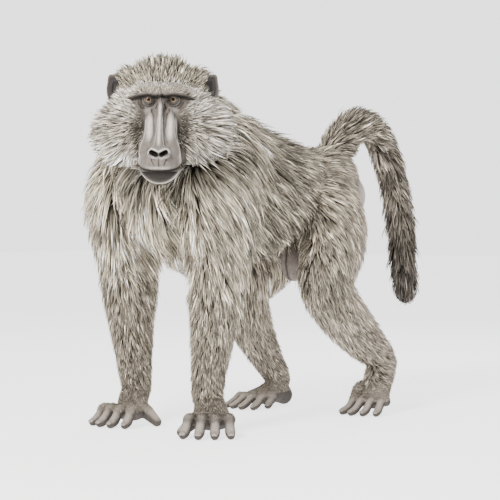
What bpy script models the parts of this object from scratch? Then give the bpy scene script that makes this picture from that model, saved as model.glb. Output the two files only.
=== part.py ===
"""A life-size still model of a standing male baboon, as a museum shows it.

Metres, +Z up. The floor is z = 0. The animal faces -Y, its left side is +X, and its head is turned
towards its left. The flesh is modelled whole from tubes and ellipsoids, melted into one body, and
parted into named nodes by cuts 0.3 mm wide.
"""

import math

import bmesh
import bpy
import numpy as np
from mathutils import Matrix, Vector
from mathutils.bvhtree import BVHTree

# Driving sizes, in metres.
GAP = 0.0003            # between nodes that touch
BODY_VOXEL = 0.0034     # grain of the melted body
HEAD_VOXEL = 0.0025     # grain of the melted head
SLIVER = 0.00002        # edges shorter than this are closed up
CORE = 0.45             # share of the long coat's depth that the core takes in under the locks

# The head has its own frame: s to the animal's left, f forward, h up, from the point between the eyes.
EYE_MIDDLE = Vector((0.105, -0.395, 0.748))
HEAD_TURN = math.radians(40)
HEAD_FORWARD = Vector((math.sin(HEAD_TURN), -math.cos(HEAD_TURN), 0))
HEAD_SIDE = Vector((math.cos(HEAD_TURN), math.sin(HEAD_TURN), 0))


def clear_scene():
    """Removes whatever the scene starts with."""
    for obj in list(bpy.data.objects):
        bpy.data.objects.remove(obj, do_unlink=True)


def head_point(s, f, h):
    """A point of the head's frame, in the model's frame."""
    return EYE_MIDDLE + s * HEAD_SIDE + f * HEAD_FORWARD + Vector((0, 0, h))


def mesh_object(name, points, faces):
    """A new object from points and faces, with its normals facing out."""
    mesh = bpy.data.meshes.new(name)
    mesh.from_pydata([tuple(p) for p in points], [], faces)
    shape = bmesh.new()
    shape.from_mesh(mesh)
    bmesh.ops.recalc_face_normals(shape, faces=shape.faces)
    shape.to_mesh(mesh)
    shape.free()
    obj = bpy.data.objects.new(name, mesh)
    bpy.context.scene.collection.objects.link(obj)
    return obj


def smooth_rows(rows, steps):
    """Catmull-Rom curve through rows of numbers, with some steps in each span."""
    rows = np.array(rows, float)
    padded = np.vstack([2 * rows[0] - rows[1], rows, 2 * rows[-1] - rows[-2]])
    out = []
    for i in range(len(rows) - 1):
        a, b, c, d = padded[i : i + 4]
        for t in np.arange(steps) / steps:
            out.append(
                0.5 * (2 * b + (c - a) * t + (2 * a - 5 * b + 4 * c - d) * t**2 + (3 * b - a - 3 * c + d) * t**3)
            )
    out.append(rows[-1])
    return np.array(out)


def tube(stations, side=(1, 0, 0), steps=4, sides=20, square=2.0, caps=1.0, cap_turns=(80, 60, 40, 20)):
    """A closed tube through stations of (x, y, z, half width, half height).

    The width lies along side, the height across it, both at right angles to the tube. Its ends are
    rounded by a quarter turn, caps times as long as the half height, with a ring at each of cap_turns.
    Square is the power of the section's outline: 2 is an ellipse and more is squarer.
    """
    rows = smooth_rows(stations, steps)
    centres, halves = rows[:, :3], np.maximum(rows[:, 3:5], 1e-4)
    along = np.gradient(centres, axis=0)
    along /= np.linalg.norm(along, axis=1)[:, None]
    wide = np.array(side, float) - along * (along @ np.array(side, float))[:, None]
    wide /= np.linalg.norm(wide, axis=1)[:, None]
    high = np.cross(wide, along)
    rings = []
    cap_angles = np.radians(cap_turns)

    def ring(i, size, shift):
        turn = 2 * np.pi * np.arange(sides) / sides
        c, s = np.cos(turn), np.sin(turn)
        c, s = np.sign(c) * np.abs(c) ** (2 / square), np.sign(s) * np.abs(s) ** (2 / square)
        middle = centres[i] + along[i] * shift
        return middle + size * (halves[i, 0] * c[:, None] * wide[i] + halves[i, 1] * s[:, None] * high[i])

    for a in cap_angles:
        rings.append(ring(0, math.cos(a), -caps * halves[0, 1] * math.sin(a)))
    for i in range(len(rows)):
        rings.append(ring(i, 1, 0))
    for a in cap_angles[::-1]:
        rings.append(ring(-1, math.cos(a), caps * halves[-1, 1] * math.sin(a)))
    points = np.vstack(rings)
    tips = [centres[0] - along[0] * caps * halves[0, 1], centres[-1] + along[-1] * caps * halves[-1, 1]]
    faces = []
    for r in range(len(rings) - 1):
        for k in range(sides):
            n = (k + 1) % sides
            faces.append((r * sides + k, r * sides + n, (r + 1) * sides + n, (r + 1) * sides + k))
    first, last = len(points), len(points) + 1
    end = (len(rings) - 1) * sides
    for k in range(sides):
        n = (k + 1) % sides
        faces.append((first, n, k))
        faces.append((last, end + k, end + n))
    return mesh_object("form", np.vstack([points, tips]), faces)


def ellipsoid(centre, radii, axes=None, segments=18):
    """A closed ellipsoid. Axes is a 3 by 3 matrix whose columns are its own directions."""
    shape = bmesh.new()
    bmesh.ops.create_uvsphere(shape, u_segments=segments, v_segments=segments * 2 // 3, radius=1)
    turn = (axes or Matrix.Identity(3)).to_4x4()
    bmesh.ops.transform(
        shape, matrix=Matrix.Translation(centre) @ turn @ Matrix.Diagonal((*radii, 1)), verts=shape.verts
    )
    bmesh.ops.recalc_face_normals(shape, faces=shape.faces)
    mesh = bpy.data.meshes.new("form")
    shape.to_mesh(mesh)
    shape.free()
    obj = bpy.data.objects.new("form", mesh)
    bpy.context.scene.collection.objects.link(obj)
    return obj


HEAD_AXES = Matrix((HEAD_SIDE, HEAD_FORWARD, Vector((0, 0, 1)))).transposed()


def head_ellipsoid(s, f, h, radii, pitch=0.0):
    """An ellipsoid in the head's frame, its forward axis turned down by pitch degrees."""
    tilt = Matrix.Rotation(math.radians(-pitch), 3, Vector((1, 0, 0)))
    return ellipsoid(head_point(s, f, h), radii, HEAD_AXES @ tilt, 18 if max(radii) > 0.02 else 12)


def head_tube(stations, **how):
    """A tube through stations of (s, f, h, half width, half height) in the head's frame."""
    rows = [(*head_point(s, f, h), w, t) for s, f, h, w, t in stations]
    return tube(rows, side=tuple(HEAD_SIDE), **how)


def baked(obj):
    """Replaces an object's mesh by what its modifiers make of it."""
    bpy.context.view_layer.update()
    graph = bpy.context.evaluated_depsgraph_get()
    mesh = bpy.data.meshes.new_from_object(obj.evaluated_get(graph))
    obj.modifiers.clear()
    obj.data = mesh
    return obj


def joined(objects, name):
    """One object that holds the meshes of several, still as separate shells."""
    shape = bmesh.new()
    for obj in objects:
        shape.from_mesh(obj.data)
        bpy.data.objects.remove(obj, do_unlink=True)
    mesh = bpy.data.meshes.new(name)
    shape.to_mesh(mesh)
    shape.free()
    out = bpy.data.objects.new(name, mesh)
    bpy.context.scene.collection.objects.link(out)
    return out


def melted(objects, name, voxel, smoothing, triangles):
    """Melts overlapping closed shapes into one skin, relaxes it and thins it to about some triangles."""
    obj = joined(objects, name)
    remesh = obj.modifiers.new("melt", "REMESH")
    remesh.mode = "VOXEL"
    remesh.voxel_size = voxel
    relax = obj.modifiers.new("relax", "SMOOTH")
    relax.factor = 0.5
    relax.iterations = smoothing
    baked(obj)
    if triangles:
        thinned(obj, triangles)
    return obj


def thinned(obj, triangles, floor=None):
    """Thins a mesh to about some triangles. What lies under the height floor keeps its own."""
    has = sum(len(p.vertices) - 2 for p in obj.data.polygons)
    thin = obj.modifiers.new("thin", "DECIMATE")
    thin.ratio = min(1.0, triangles / has)
    if floor is not None:
        high = [v.index for v in obj.data.vertices if v.co.z > floor]
        obj.vertex_groups.new(name="high").add(high, 1.0, "REPLACE")
        thin.vertex_group = "high"
    baked(obj)
    obj.vertex_groups.clear()
    return obj


def combined(obj, other, operation):
    """Boolean of obj with other, whose object stays. The exact solver steps in where the fast one fails."""
    before = obj.data
    for solver in ("MANIFOLD", "EXACT"):
        cut = obj.modifiers.new("cut", "BOOLEAN")
        cut.operation = operation
        cut.solver = solver
        cut.object = other
        baked(obj)
        if len(obj.data.polygons) > 3:
            return obj
        obj.data = before
    return obj


def largest_piece(obj):
    """Keeps an object's largest closed surface only."""
    shape = bmesh.new()
    shape.from_mesh(obj.data)
    seen, groups = set(), []
    for start in shape.verts:
        if start in seen:
            continue
        group, queue = [], [start]
        seen.add(start)
        while queue:
            vert = queue.pop()
            group.append(vert)
            for edge in vert.link_edges:
                other = edge.other_vert(vert)
                if other not in seen:
                    seen.add(other)
                    queue.append(other)
        groups.append(group)

    def size(group):
        spans = [max(v.co[i] for v in group) - min(v.co[i] for v in group) for i in range(3)]
        return spans[0] * spans[1] * spans[2]

    groups.sort(key=size, reverse=True)
    for group in groups[1:]:
        bmesh.ops.delete(shape, geom=group, context="VERTS")
    bmesh.ops.triangulate(shape, faces=shape.faces)
    shape.to_mesh(obj.data)
    bmesh.ops.dissolve_degenerate(shape, edges=shape.edges, dist=SLIVER)
    bmesh.ops.triangulate(shape, faces=shape.faces)
    if all(len(edge.link_faces) == 2 for edge in shape.edges):
        shape.to_mesh(obj.data)
    shape.free()
    return obj


def copied(obj, name):
    """A copy of an object with its own mesh."""
    out = obj.copy()
    out.data = obj.data.copy()
    out.name = name
    bpy.context.scene.collection.objects.link(out)
    return out


def slab(point, normal, gap=0.0):
    """A large block that fills the side of a plane that normal points to, from gap / 2 past it."""
    direction = Vector(normal).normalized()
    reach = 3.0
    shape = bmesh.new()
    bmesh.ops.create_cube(shape, size=1)
    place = (
        Matrix.Translation(Vector(point) + direction * (reach / 2 + gap / 2))
        @ direction.to_track_quat("Z", "Y").to_matrix().to_4x4()
        @ Matrix.Diagonal((reach, reach, reach, 1))
    )
    bmesh.ops.transform(shape, matrix=place, verts=shape.verts)
    mesh = bpy.data.meshes.new("slab")
    shape.to_mesh(mesh)
    shape.free()
    obj = bpy.data.objects.new("slab", mesh)
    bpy.context.scene.collection.objects.link(obj)
    return obj


def plane_part(whole, name, point, normal):
    """Takes off the side of a plane that normal points to, as a new node, and returns it."""
    piece = copied(whole, name)
    near, far = slab(point, normal, GAP), slab(point, -Vector(normal), GAP)
    combined(piece, near, "INTERSECT")
    combined(whole, far, "INTERSECT")
    for block in (near, far):
        bpy.data.objects.remove(block, do_unlink=True)
    largest_piece(whole)
    return largest_piece(piece)


def sleeve_part(whole, name, sleeve, *arguments, **how):
    """Takes off what lies inside a closed sleeve, as a new node. Sleeve(grow, ...) makes the sleeve."""
    piece = copied(whole, name)
    inner, outer = sleeve(0.0, *arguments, **how), sleeve(GAP, *arguments, **how)
    combined(piece, inner, "INTERSECT")
    combined(whole, outer, "DIFFERENCE")
    for shell in (inner, outer):
        bpy.data.objects.remove(shell, do_unlink=True)
    largest_piece(whole)
    return largest_piece(piece)


# Trunk, along the spine from the breast to the rump: y, z, half width, half height, coat, core's share.
TRUNK = [
    (-0.265, 0.540, 0.070, 0.100, 0.045, 0.45),
    (-0.200, 0.550, 0.102, 0.142, 0.050, 0.45),
    (-0.100, 0.547, 0.112, 0.144, 0.052, 0.45),
    (0.000, 0.543, 0.112, 0.122, 0.042, 0.70),
    (0.100, 0.551, 0.106, 0.100, 0.032, 1.0),
    (0.200, 0.553, 0.096, 0.084, 0.026, 1.0),
    (0.275, 0.551, 0.090, 0.084, 0.022, 1.0),
    (0.318, 0.540, 0.072, 0.070, 0.018, 1.0),
]


def trunk_form():
    """The trunk as one deep-chested tube that slopes up towards the shoulders."""
    rows = [(0, y, z, w + share * c, h + share * c) for y, z, w, h, c, share in TRUNK]
    return tube(rows, sides=28, square=2.2, caps=0.55)


# Neck, from between the shoulders to the back of the skull: x, y, z, half width, half height, coat.
NECK = [
    (0.000, -0.090, 0.600, 0.085, 0.088, 0.058),
    (0.000, -0.165, 0.645, 0.078, 0.084, 0.060),
    (0.012, -0.235, 0.690, 0.068, 0.072, 0.055),
    (0.032, -0.290, 0.725, 0.055, 0.058, 0.040),
]


def neck_form():
    """The neck, thick with mane, rising to the skull."""
    return tube([(x, y, z, w + CORE * c, h + CORE * c) for x, y, z, w, h, c in NECK], sides=24)


# Limbs from root to wrist or ankle: x, y, z, half width across, half depth fore and aft, coat.
LEFT_ARM = [
    (0.078, -0.170, 0.625, 0.036, 0.062, 0.040),
    (0.108, -0.225, 0.555, 0.054, 0.074, 0.040),
    (0.130, -0.240, 0.470, 0.046, 0.060, 0.036),
    (0.139, -0.238, 0.380, 0.038, 0.046, 0.030),
    (0.140, -0.250, 0.290, 0.036, 0.040, 0.022),
    (0.144, -0.274, 0.180, 0.029, 0.031, 0.015),
    (0.149, -0.292, 0.085, 0.025, 0.027, 0.009),
]
RIGHT_ARM = [
    (-0.088, -0.160, 0.625, 0.036, 0.062, 0.048),
    (-0.132, -0.218, 0.555, 0.054, 0.074, 0.050),
    (-0.158, -0.224, 0.470, 0.046, 0.060, 0.038),
    (-0.170, -0.212, 0.380, 0.038, 0.046, 0.030),
    (-0.164, -0.214, 0.290, 0.036, 0.040, 0.023),
    (-0.140, -0.228, 0.180, 0.029, 0.031, 0.016),
    (-0.118, -0.240, 0.085, 0.024, 0.026, 0.009),
]
LEFT_LEG = [
    (0.060, 0.270, 0.570, 0.050, 0.074, 0.022),
    (0.098, 0.240, 0.500, 0.058, 0.084, 0.022),
    (0.128, 0.204, 0.405, 0.048, 0.074, 0.024),
    (0.148, 0.146, 0.325, 0.038, 0.050, 0.022),
    (0.158, 0.188, 0.258, 0.036, 0.045, 0.021),
    (0.170, 0.268, 0.186, 0.028, 0.037, 0.018),
    (0.177, 0.326, 0.145, 0.022, 0.027, 0.011),
]
RIGHT_LEG = [
    (-0.060, 0.270, 0.570, 0.050, 0.074, 0.022),
    (-0.090, 0.256, 0.500, 0.058, 0.090, 0.022),
    (-0.114, 0.228, 0.400, 0.048, 0.080, 0.034),
    (-0.130, 0.164, 0.310, 0.037, 0.052, 0.026),
    (-0.135, 0.192, 0.225, 0.032, 0.043, 0.020),
    (-0.134, 0.258, 0.132, 0.023, 0.030, 0.015),
    (-0.130, 0.298, 0.075, 0.021, 0.026, 0.010),
]


def core_share(z, long_above, short_below):
    """CORE above one height, 1 below another, and even in between."""
    t = min(1.0, max(0.0, (z - short_below) / (long_above - short_below)))
    return 1 + (CORE - 1) * t


def arm_form(stations):
    """An arm from its root in the trunk to the wrist, with locks over the shoulder."""
    rows = []
    for x, y, z, w, d, c in stations:
        share = core_share(z, 0.55, 0.44)
        rows.append((x, y, z, w + share * c, d + share * c))
    return tube(rows, sides=20)


def leg_form(stations):
    """A leg from its root in the trunk to the ankle, with its short coat."""
    return tube([(x, y, z, w + c, d + c) for x, y, z, w, d, c in stations], sides=20)


# Tail: y, z, half thickness, coat. It rises from the rump, breaks over and hangs.
TAIL = [
    (0.290, 0.578, 0.030, 0.020),
    (0.352, 0.628, 0.025, 0.026),
    (0.412, 0.693, 0.020, 0.031),
    (0.478, 0.731, 0.017, 0.029),
    (0.563, 0.700, 0.015, 0.027),
    (0.630, 0.600, 0.014, 0.027),
    (0.664, 0.480, 0.013, 0.028),
    (0.680, 0.370, 0.010, 0.029),
    (0.690, 0.290, 0.006, 0.024),
]


def tail_form():
    """The tail, carried up, bent over and hanging behind."""
    return tube([(0, y, z, r + c, r + c) for y, z, r, c in TAIL], sides=16)


def across_and_ahead(pointing, mirror):
    """The directions across and along a hand or foot that points some degrees from -Y towards +X."""
    angle = math.radians(pointing)
    ahead = Vector((math.sin(angle), -math.cos(angle), 0))
    return Vector((math.cos(angle), math.sin(angle), 0)) * mirror, ahead


def digit(root, way, length, thickness, bend, across):
    """A finger or toe: from its root over a raised joint to a tip on the floor."""
    middle = root + way * length * 0.45
    middle.z = root.z + bend
    low = root + way * length * 0.80
    low.z = thickness * 1.15
    tip = root + way * length
    tip.z = thickness * 0.42
    rows = [(root, 1.0), (middle, 0.95), (low, 0.84), (tip, 0.72)]
    return tube([(*p, thickness * k, thickness * k) for p, k in rows], side=tuple(across), sides=12)


def hand_forms(wrist, palm, pointing, mirror, finger, rise):
    """Palm, four fingers and a thumb, flat on the floor.

    Wrist and palm are points; mirror is 1 where the thumb is on the -X side and -1 where it is on the
    other. Finger is the length of the second finger and rise the knuckles' height.
    """
    across, ahead = across_and_ahead(pointing, mirror)
    up = Vector((0, 0, 1))
    wrist, palm = Vector(wrist), Vector(palm)
    knuckles = palm + ahead * 0.030 + up * rise
    rows = [
        (wrist + up * 0.030, 0.027, 0.029),
        (wrist, 0.029, 0.027),
        (wrist.lerp(palm, 0.55) + up * 0.016, 0.034, 0.024),
        (palm + up * rise * 0.80, 0.046, 0.020),
        (knuckles, 0.046, 0.014),
    ]
    forms = [tube([(*p, w, t) for p, w, t in rows], side=tuple(across), sides=18, caps=0.5)]
    for k in range(4):
        share = k - 1.5
        way = Matrix.Rotation(math.radians(share * 9) * mirror, 3, "Z") @ ahead
        root = knuckles + across * share * 0.0255 - ahead * (0.004 + 0.005 * abs(share))
        forms.append(digit(root, way, finger * (0.94, 1.0, 0.96, 0.86)[k], 0.0128, 0.003, across))
    base = wrist.lerp(palm, 0.45) - across * 0.020
    tip = palm - across * 0.056 + ahead * 0.022
    knuckle = base.lerp(tip, 0.5) + up * 0.004
    rows = [(base, 0.016), (knuckle, 0.0150), (tip + up * 0.010, 0.0110)]
    forms.append(tube([(*p, r, r) for p, r in rows], side=tuple(ahead), sides=12))
    return forms


def foot_forms(shin, ankle, heel, ball, pointing, mirror, toe, hallux):
    """Heel, sole and five toes, with the toes on the floor. The great toe stands off on the inner side."""
    across, ahead = across_and_ahead(pointing, mirror)
    shin, ankle, heel, ball = Vector(shin), Vector(ankle), Vector(heel), Vector(ball)
    rows = [
        (heel, 0.023, 0.026),
        (heel.lerp(ball, 0.35).lerp(ankle, 0.35), 0.029, 0.032),
        (heel.lerp(ball, 0.72).lerp(ankle, 0.12), 0.036, 0.026),
        (ball, 0.042, 0.019),
    ]
    forms = [
        tube([(*p, w, t) for p, w, t in rows], side=tuple(across), sides=18),
        tube([(*shin, 0.030, 0.034), (*ankle, 0.029, 0.033)], sides=18),
    ]
    for k in range(4):
        share = k - 1.5
        way = Matrix.Rotation(math.radians(share * 7) * mirror, 3, "Z") @ ahead
        root = ball + across * share * 0.0215 - ahead * 0.004 * abs(share)
        forms.append(digit(root, way, toe * (0.95, 1.0, 0.95, 0.84)[k], 0.0120, 0.002, across))
    base = heel.lerp(ball, 0.60) - across * 0.020
    way = (ahead * 0.9 - across * 0.45).normalized()
    forms.append(digit(base, way, hallux, 0.0135, -0.004, across))
    return forms


LEFT_HAND = dict(
    wrist=(0.152, -0.290, 0.078), palm=(0.174, -0.304, 0.0), pointing=34, mirror=1, finger=0.068, rise=0.038
)
RIGHT_HAND = dict(
    wrist=(-0.116, -0.242, 0.078), palm=(-0.109, -0.270, 0.0), pointing=2, mirror=-1, finger=0.066, rise=0.036
)
LEFT_FOOT = dict(
    shin=(0.170, 0.275, 0.188), ankle=(0.178, 0.330, 0.132), heel=(0.180, 0.346, 0.122), ball=(0.190, 0.286, 0.031),
    pointing=4, mirror=1, toe=0.082, hallux=0.078
)
RIGHT_FOOT = dict(
    shin=(-0.133, 0.262, 0.130), ankle=(-0.129, 0.304, 0.062), heel=(-0.129, 0.326, 0.024), ball=(-0.128, 0.218, 0.026),
    pointing=0, mirror=-1, toe=0.084, hallux=0.070
)


def torso_muscles():
    """Shoulder blades under the mane's core and haunches under their short coat."""
    forms = []
    blade, haunch = 0.035 * CORE, 0.018
    for side in (1, -1):
        forms.append(ellipsoid(Vector((side * 0.080, -0.150, 0.605)), (0.046 + blade, 0.075 + blade, 0.085 + blade)))
        forms.append(ellipsoid(Vector((side * 0.076, 0.278, 0.530)), (0.058 + haunch, 0.078 + haunch, 0.092 + haunch)))
    return forms


# Skull, face and jaw at the skin, in the head's frame: s, f, h, three radii, and pitch in degrees.
HEAD_MASSES = [
    (0.000, -0.076, 0.010, (0.070, 0.080, 0.060), 0),    # braincase
    (0.000, -0.022, 0.012, (0.060, 0.028, 0.018), 0),    # forehead behind the brows
    (0.000, -0.028, -0.018, (0.058, 0.026, 0.034), 0),   # face around the eyes
    (0.000, 0.100, -0.116, (0.019, 0.013, 0.013), 40),   # nose pad
    (0.000, 0.080, -0.150, (0.041, 0.022, 0.019), 20),   # upper lip
    (0.000, 0.066, -0.170, (0.036, 0.020, 0.015), 10),   # lower lip and chin
]
HEAD_PAIRS = [
    (0.044, -0.060, -0.010, (0.040, 0.055, 0.052), 0),   # temples
    (0.052, -0.062, -0.074, (0.030, 0.034, 0.050), 30),  # jaw muscles
    (0.013, 0.103, -0.122, (0.009, 0.010, 0.010), 30),   # wings of the nose
]
BROW = [
    (-0.076, -0.034, 0.000, 0.009, 0.009),
    (-0.054, -0.006, 0.013, 0.012, 0.011),
    (-0.026, 0.008, 0.019, 0.013, 0.011),
    (0.000, 0.010, 0.014, 0.012, 0.010),
    (0.026, 0.008, 0.019, 0.013, 0.011),
    (0.054, -0.006, 0.013, 0.012, 0.011),
    (0.076, -0.034, 0.000, 0.009, 0.009),
]
CHEEK = [
    (0.058, -0.042, 0.002, 0.017, 0.017),
    (0.050, -0.022, -0.028, 0.019, 0.017),
    (0.051, -0.030, -0.066, 0.023, 0.022),
    (0.046, -0.036, -0.106, 0.026, 0.026),
]
MUZZLE = [
    (0, -0.045, -0.035, 0.033, 0.036),
    (0, -0.002, -0.060, 0.033, 0.036),
    (0, 0.030, -0.090, 0.035, 0.036),
    (0, 0.055, -0.118, 0.042, 0.036),
    (0, 0.068, -0.136, 0.046, 0.034),
]
JAW = [
    (0, -0.060, -0.092, 0.044, 0.022),
    (0, -0.010, -0.128, 0.039, 0.022),
    (0, 0.035, -0.158, 0.037, 0.020),
    (0, 0.056, -0.172, 0.033, 0.017),
]
NASAL_RIDGE = [
    (0, 0.000, 0.000, 0.008, 0.010),
    (0, 0.034, -0.034, 0.007, 0.010),
    (0, 0.070, -0.074, 0.008, 0.010),
    (0, 0.096, -0.106, 0.013, 0.011),
]
CHEEK_RIDGE = [
    (0.019, 0.004, -0.030, 0.009, 0.009),
    (0.024, 0.032, -0.056, 0.010, 0.010),
    (0.025, 0.060, -0.086, 0.010, 0.009),
    (0.024, 0.078, -0.108, 0.009, 0.008),
]
RUFF_COAT = 0.045
CROWN = (0.000, -0.084, 0.020, (0.098, 0.084, 0.080), 0)
# Ring of long cheek fur from the temple down and under the jaw: s, f, h, half depth, half breadth.
RUFF = [
    (0.066, -0.066, 0.042, 0.040, 0.036),
    (0.090, -0.060, -0.008, 0.044, 0.046),
    (0.108, -0.056, -0.062, 0.046, 0.056),
    (0.092, -0.058, -0.110, 0.044, 0.050),
    (0.040, -0.060, -0.136, 0.040, 0.042),
    (0.000, -0.058, -0.142, 0.040, 0.040),
]


def mirrored(rows):
    """Stations on the other side of the head."""
    return [(-row[0], *row[1:]) for row in rows]


def head_forms():
    """Skull, brows, cheeks, muzzle, nose, lips and jaw, the crown with its coat and the ruff's core."""
    masses = HEAD_MASSES + HEAD_PAIRS + mirrored(HEAD_PAIRS)
    masses = masses + [CROWN]
    forms = [head_ellipsoid(*mass) for mass in masses]
    shrink = (1 - CORE) * RUFF_COAT
    ruff = [(s - shrink * 0.5, f - 0.004, h, d - shrink * 0.5, b - shrink * 0.5) for s, f, h, d, b in RUFF]
    for rows in (ruff, mirrored(ruff)):
        stations = [(*head_point(s, f, h), d, b) for s, f, h, d, b in rows]
        forms.append(tube(stations, side=tuple(HEAD_FORWARD), sides=20))
    forms.append(head_tube(BROW, sides=14))
    forms += [head_tube(CHEEK, sides=14), head_tube(mirrored(CHEEK), sides=14)]
    forms.append(head_tube(MUZZLE, sides=28, square=2.7, caps=0.8))
    forms.append(head_tube(JAW, sides=20, square=2.3, caps=0.9))
    forms.append(head_tube(NASAL_RIDGE, sides=14))
    forms += [head_tube(CHEEK_RIDGE, sides=12), head_tube(mirrored(CHEEK_RIDGE), sides=12)]
    return forms


def in_head_frame(points):
    """Points of the model's frame as rows of s, f, h."""
    away = points - np.array(EYE_MIDDLE)
    return np.stack([away @ np.array(HEAD_SIDE), away @ np.array(HEAD_FORWARD), away[:, 2]], axis=1)


def dented(obj, path, reach, depth):
    """Presses a dent into the head along a path of (s, f, h, sf, ff, hf): a point and the way it is pushed.

    A vertex nearer than reach to the path moves by depth times (1 - (d / reach)^2)^2.
    """
    mesh = obj.data
    points = np.empty(len(mesh.vertices) * 3)
    mesh.vertices.foreach_get("co", points)
    points = points.reshape(-1, 3)
    local = in_head_frame(points)
    rows = smooth_rows(path, 8) if len(path) > 1 else np.array(path, float)
    apart = np.linalg.norm(local[:, None, :] - rows[None, :, :3], axis=2)
    nearest = apart.argmin(axis=1)
    share = np.clip(1 - (apart[np.arange(len(points)), nearest] / reach) ** 2, 0, 1) ** 2
    push = rows[nearest, 3:6] * (share * depth)[:, None]
    points += (
        push[:, :1] * np.array(HEAD_SIDE) + push[:, 1:2] * np.array(HEAD_FORWARD) + push[:, 2:3] * np.array((0, 0, 1.0))
    )
    mesh.vertices.foreach_set("co", points.ravel())
    mesh.update()


# Eyes, lids, mouth and nostrils, in the head's frame.
EYE_RADIUS = 0.0135
EYE = (0.0275, -0.0120, -0.0005)
LID = 0.0028
EYE_OPENING = (0.0108, 0.0130, 0.0068)
MOUTH = [
    (-0.047, 0.010, -0.112, 1.0, 0.0, 0.1),
    (-0.047, 0.045, -0.134, 0.9, -0.3, 0.0),
    (-0.036, 0.082, -0.153, 0.4, -0.9, 0.0),
    (0.000, 0.100, -0.157, 0.0, -1.0, 0.0),
    (0.036, 0.082, -0.153, -0.4, -0.9, 0.0),
    (0.047, 0.045, -0.134, -0.9, -0.3, 0.0),
    (0.047, 0.010, -0.112, -1.0, 0.0, 0.1),
]
NOSTRIL = (0.0105, 0.116, -0.121, 0.15, -0.95, 0.25)


def head_whole(triangles):
    """The head with its sockets, nostrils, mouth line and lids, still closed behind."""
    head = melted(head_forms(), "head", HEAD_VOXEL, 4, 0)
    for side in (1, -1):
        s, f, h = EYE
        dented(head, [(side * s, 0.0, h, 0, -1, 0)], 0.022, 0.010)
        n = NOSTRIL
        dented(head, [(side * n[0], n[1], n[2], side * n[3], n[4], n[5])], 0.0072, 0.0090)
    dented(head, MOUTH, 0.0065, 0.0050)
    thinned(head, triangles)
    for side in (1, -1):
        s, f, h = EYE
        lids = head_ellipsoid(side * s, f, h, (EYE_RADIUS + LID,) * 3, 0)
        ball = head_ellipsoid(side * s, f, h, (EYE_RADIUS + GAP,) * 3, 0)
        opening = head_ellipsoid(side * s, f + EYE_RADIUS, h, EYE_OPENING, 0)
        for shell, operation in ((lids, "UNION"), (ball, "DIFFERENCE"), (opening, "DIFFERENCE")):
            combined(head, shell, operation)
            bpy.data.objects.remove(shell, do_unlink=True)
    return head


# Ears: a cup whose rim has a pointed upper outer corner. Place in the head's frame, then half sizes.
EAR = (0.106, -0.072, 0.026)
EAR_HALF_WIDTH = 0.026
EAR_HALF_HEIGHT = 0.036
EAR_DEPTH = 0.015
EAR_THICK = 0.0032
EAR_CORNER = 0.009
EAR_OUTWARD = math.radians(28)


def ear_form(side, grow=0.0, filled=False):
    """An ear as a closed bowl. Grow thickens it all round; filled closes its mouth and runs it forward.

    With v from 0 at the middle to 1 at the rim, the back lies EAR_DEPTH * (1 - v^2) behind the rim and
    the inside EAR_THICK nearer.
    """
    turns = np.radians(np.arange(10, 370, 24))
    corner = np.exp(-(((turns - math.radians(58)) / math.radians(17)) ** 2))
    width = (EAR_HALF_WIDTH + grow + EAR_CORNER * corner) * np.cos(turns)
    height = (EAR_HALF_HEIGHT + grow + EAR_CORNER * corner) * np.sin(turns)
    back = [(v, -(EAR_DEPTH + grow) * (1 - v * v) - EAR_THICK * 0.5) for v in (0.35, 0.65, 0.88)]
    rim = [(1.0, -EAR_THICK * 0.3)]
    if filled:
        front = [(1.0, 0.030)]
        middles = (-EAR_DEPTH - grow - EAR_THICK * 0.5, 0.030)
    else:
        inner = 1 - EAR_THICK / EAR_HALF_WIDTH
        front = [(inner, grow)] + [(inner * v, -(EAR_DEPTH - EAR_THICK - grow) * (1 - v * v)) for v in (0.8, 0.5, 0.25)]
        middles = (-EAR_DEPTH - grow - EAR_THICK * 0.5, -(EAR_DEPTH - EAR_THICK - grow))
    normal = Vector((side * math.sin(EAR_OUTWARD), math.cos(EAR_OUTWARD), 0.06)).normalized()
    up = Vector((side * 0.10, 0, 1))
    up = (up - normal * up.dot(normal)).normalized()
    out = up.cross(normal).normalized()
    if out.x * side < 0:
        out = -out
    s0, f0, h0 = EAR

    def place(w, t, d):
        local = out * w + up * t + normal * d
        return head_point(side * s0 + local.x, f0 + local.y, h0 + local.z)

    points = [place(0, 0, middles[0])]
    rings = back + rim + front
    for v, d in rings:
        points += [place(v * w, v * t, d) for w, t in zip(width, height)]
    points.append(place(0, 0, middles[1]))
    count = len(turns)
    faces = [(0, 1 + k, 1 + (k + 1) % count) for k in range(count)]
    for r in range(len(rings) - 1):
        for k in range(count):
            n = (k + 1) % count
            a, b = 1 + r * count, 1 + (r + 1) * count
            faces.append((a + k, a + n, b + n, b + k))
    last = 1 + (len(rings) - 1) * count
    faces += [(len(points) - 1, last + k, last + (k + 1) % count) for k in range(count)]
    return mesh_object("ear", points, faces)


# Scrotum: x, y, z, half width, half depth down its length. Bare pads beside the tail's root.
SCROTUM = [
    (0.004, 0.200, 0.440, 0.022, 0.020),
    (0.006, 0.198, 0.405, 0.030, 0.026),
    (0.008, 0.197, 0.370, 0.035, 0.030),
    (0.008, 0.197, 0.352, 0.030, 0.026),
]
PAD_CENTRE = (0.052, 0.372, 0.525)
PAD_RADII = (0.042, 0.046, 0.062)


def scrotum_form(grow):
    """The scrotum, hanging between the thighs."""
    return tube([(x, y, z, w + grow, d + grow) for x, y, z, w, d in SCROTUM], sides=12, steps=2, cap_turns=(62, 30))


def pad_form(grow, side):
    """The ellipsoid that bounds a bare rump pad."""
    x, y, z = PAD_CENTRE
    return ellipsoid(Vector((side * x, y, z)), tuple(r + grow for r in PAD_RADII), segments=12)


def united(shells):
    """Unites closed shells into the first of them."""
    whole = shells[0]
    for shell in shells[1:]:
        combined(whole, shell, "UNION")
        bpy.data.objects.remove(shell, do_unlink=True)
    return whole


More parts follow.
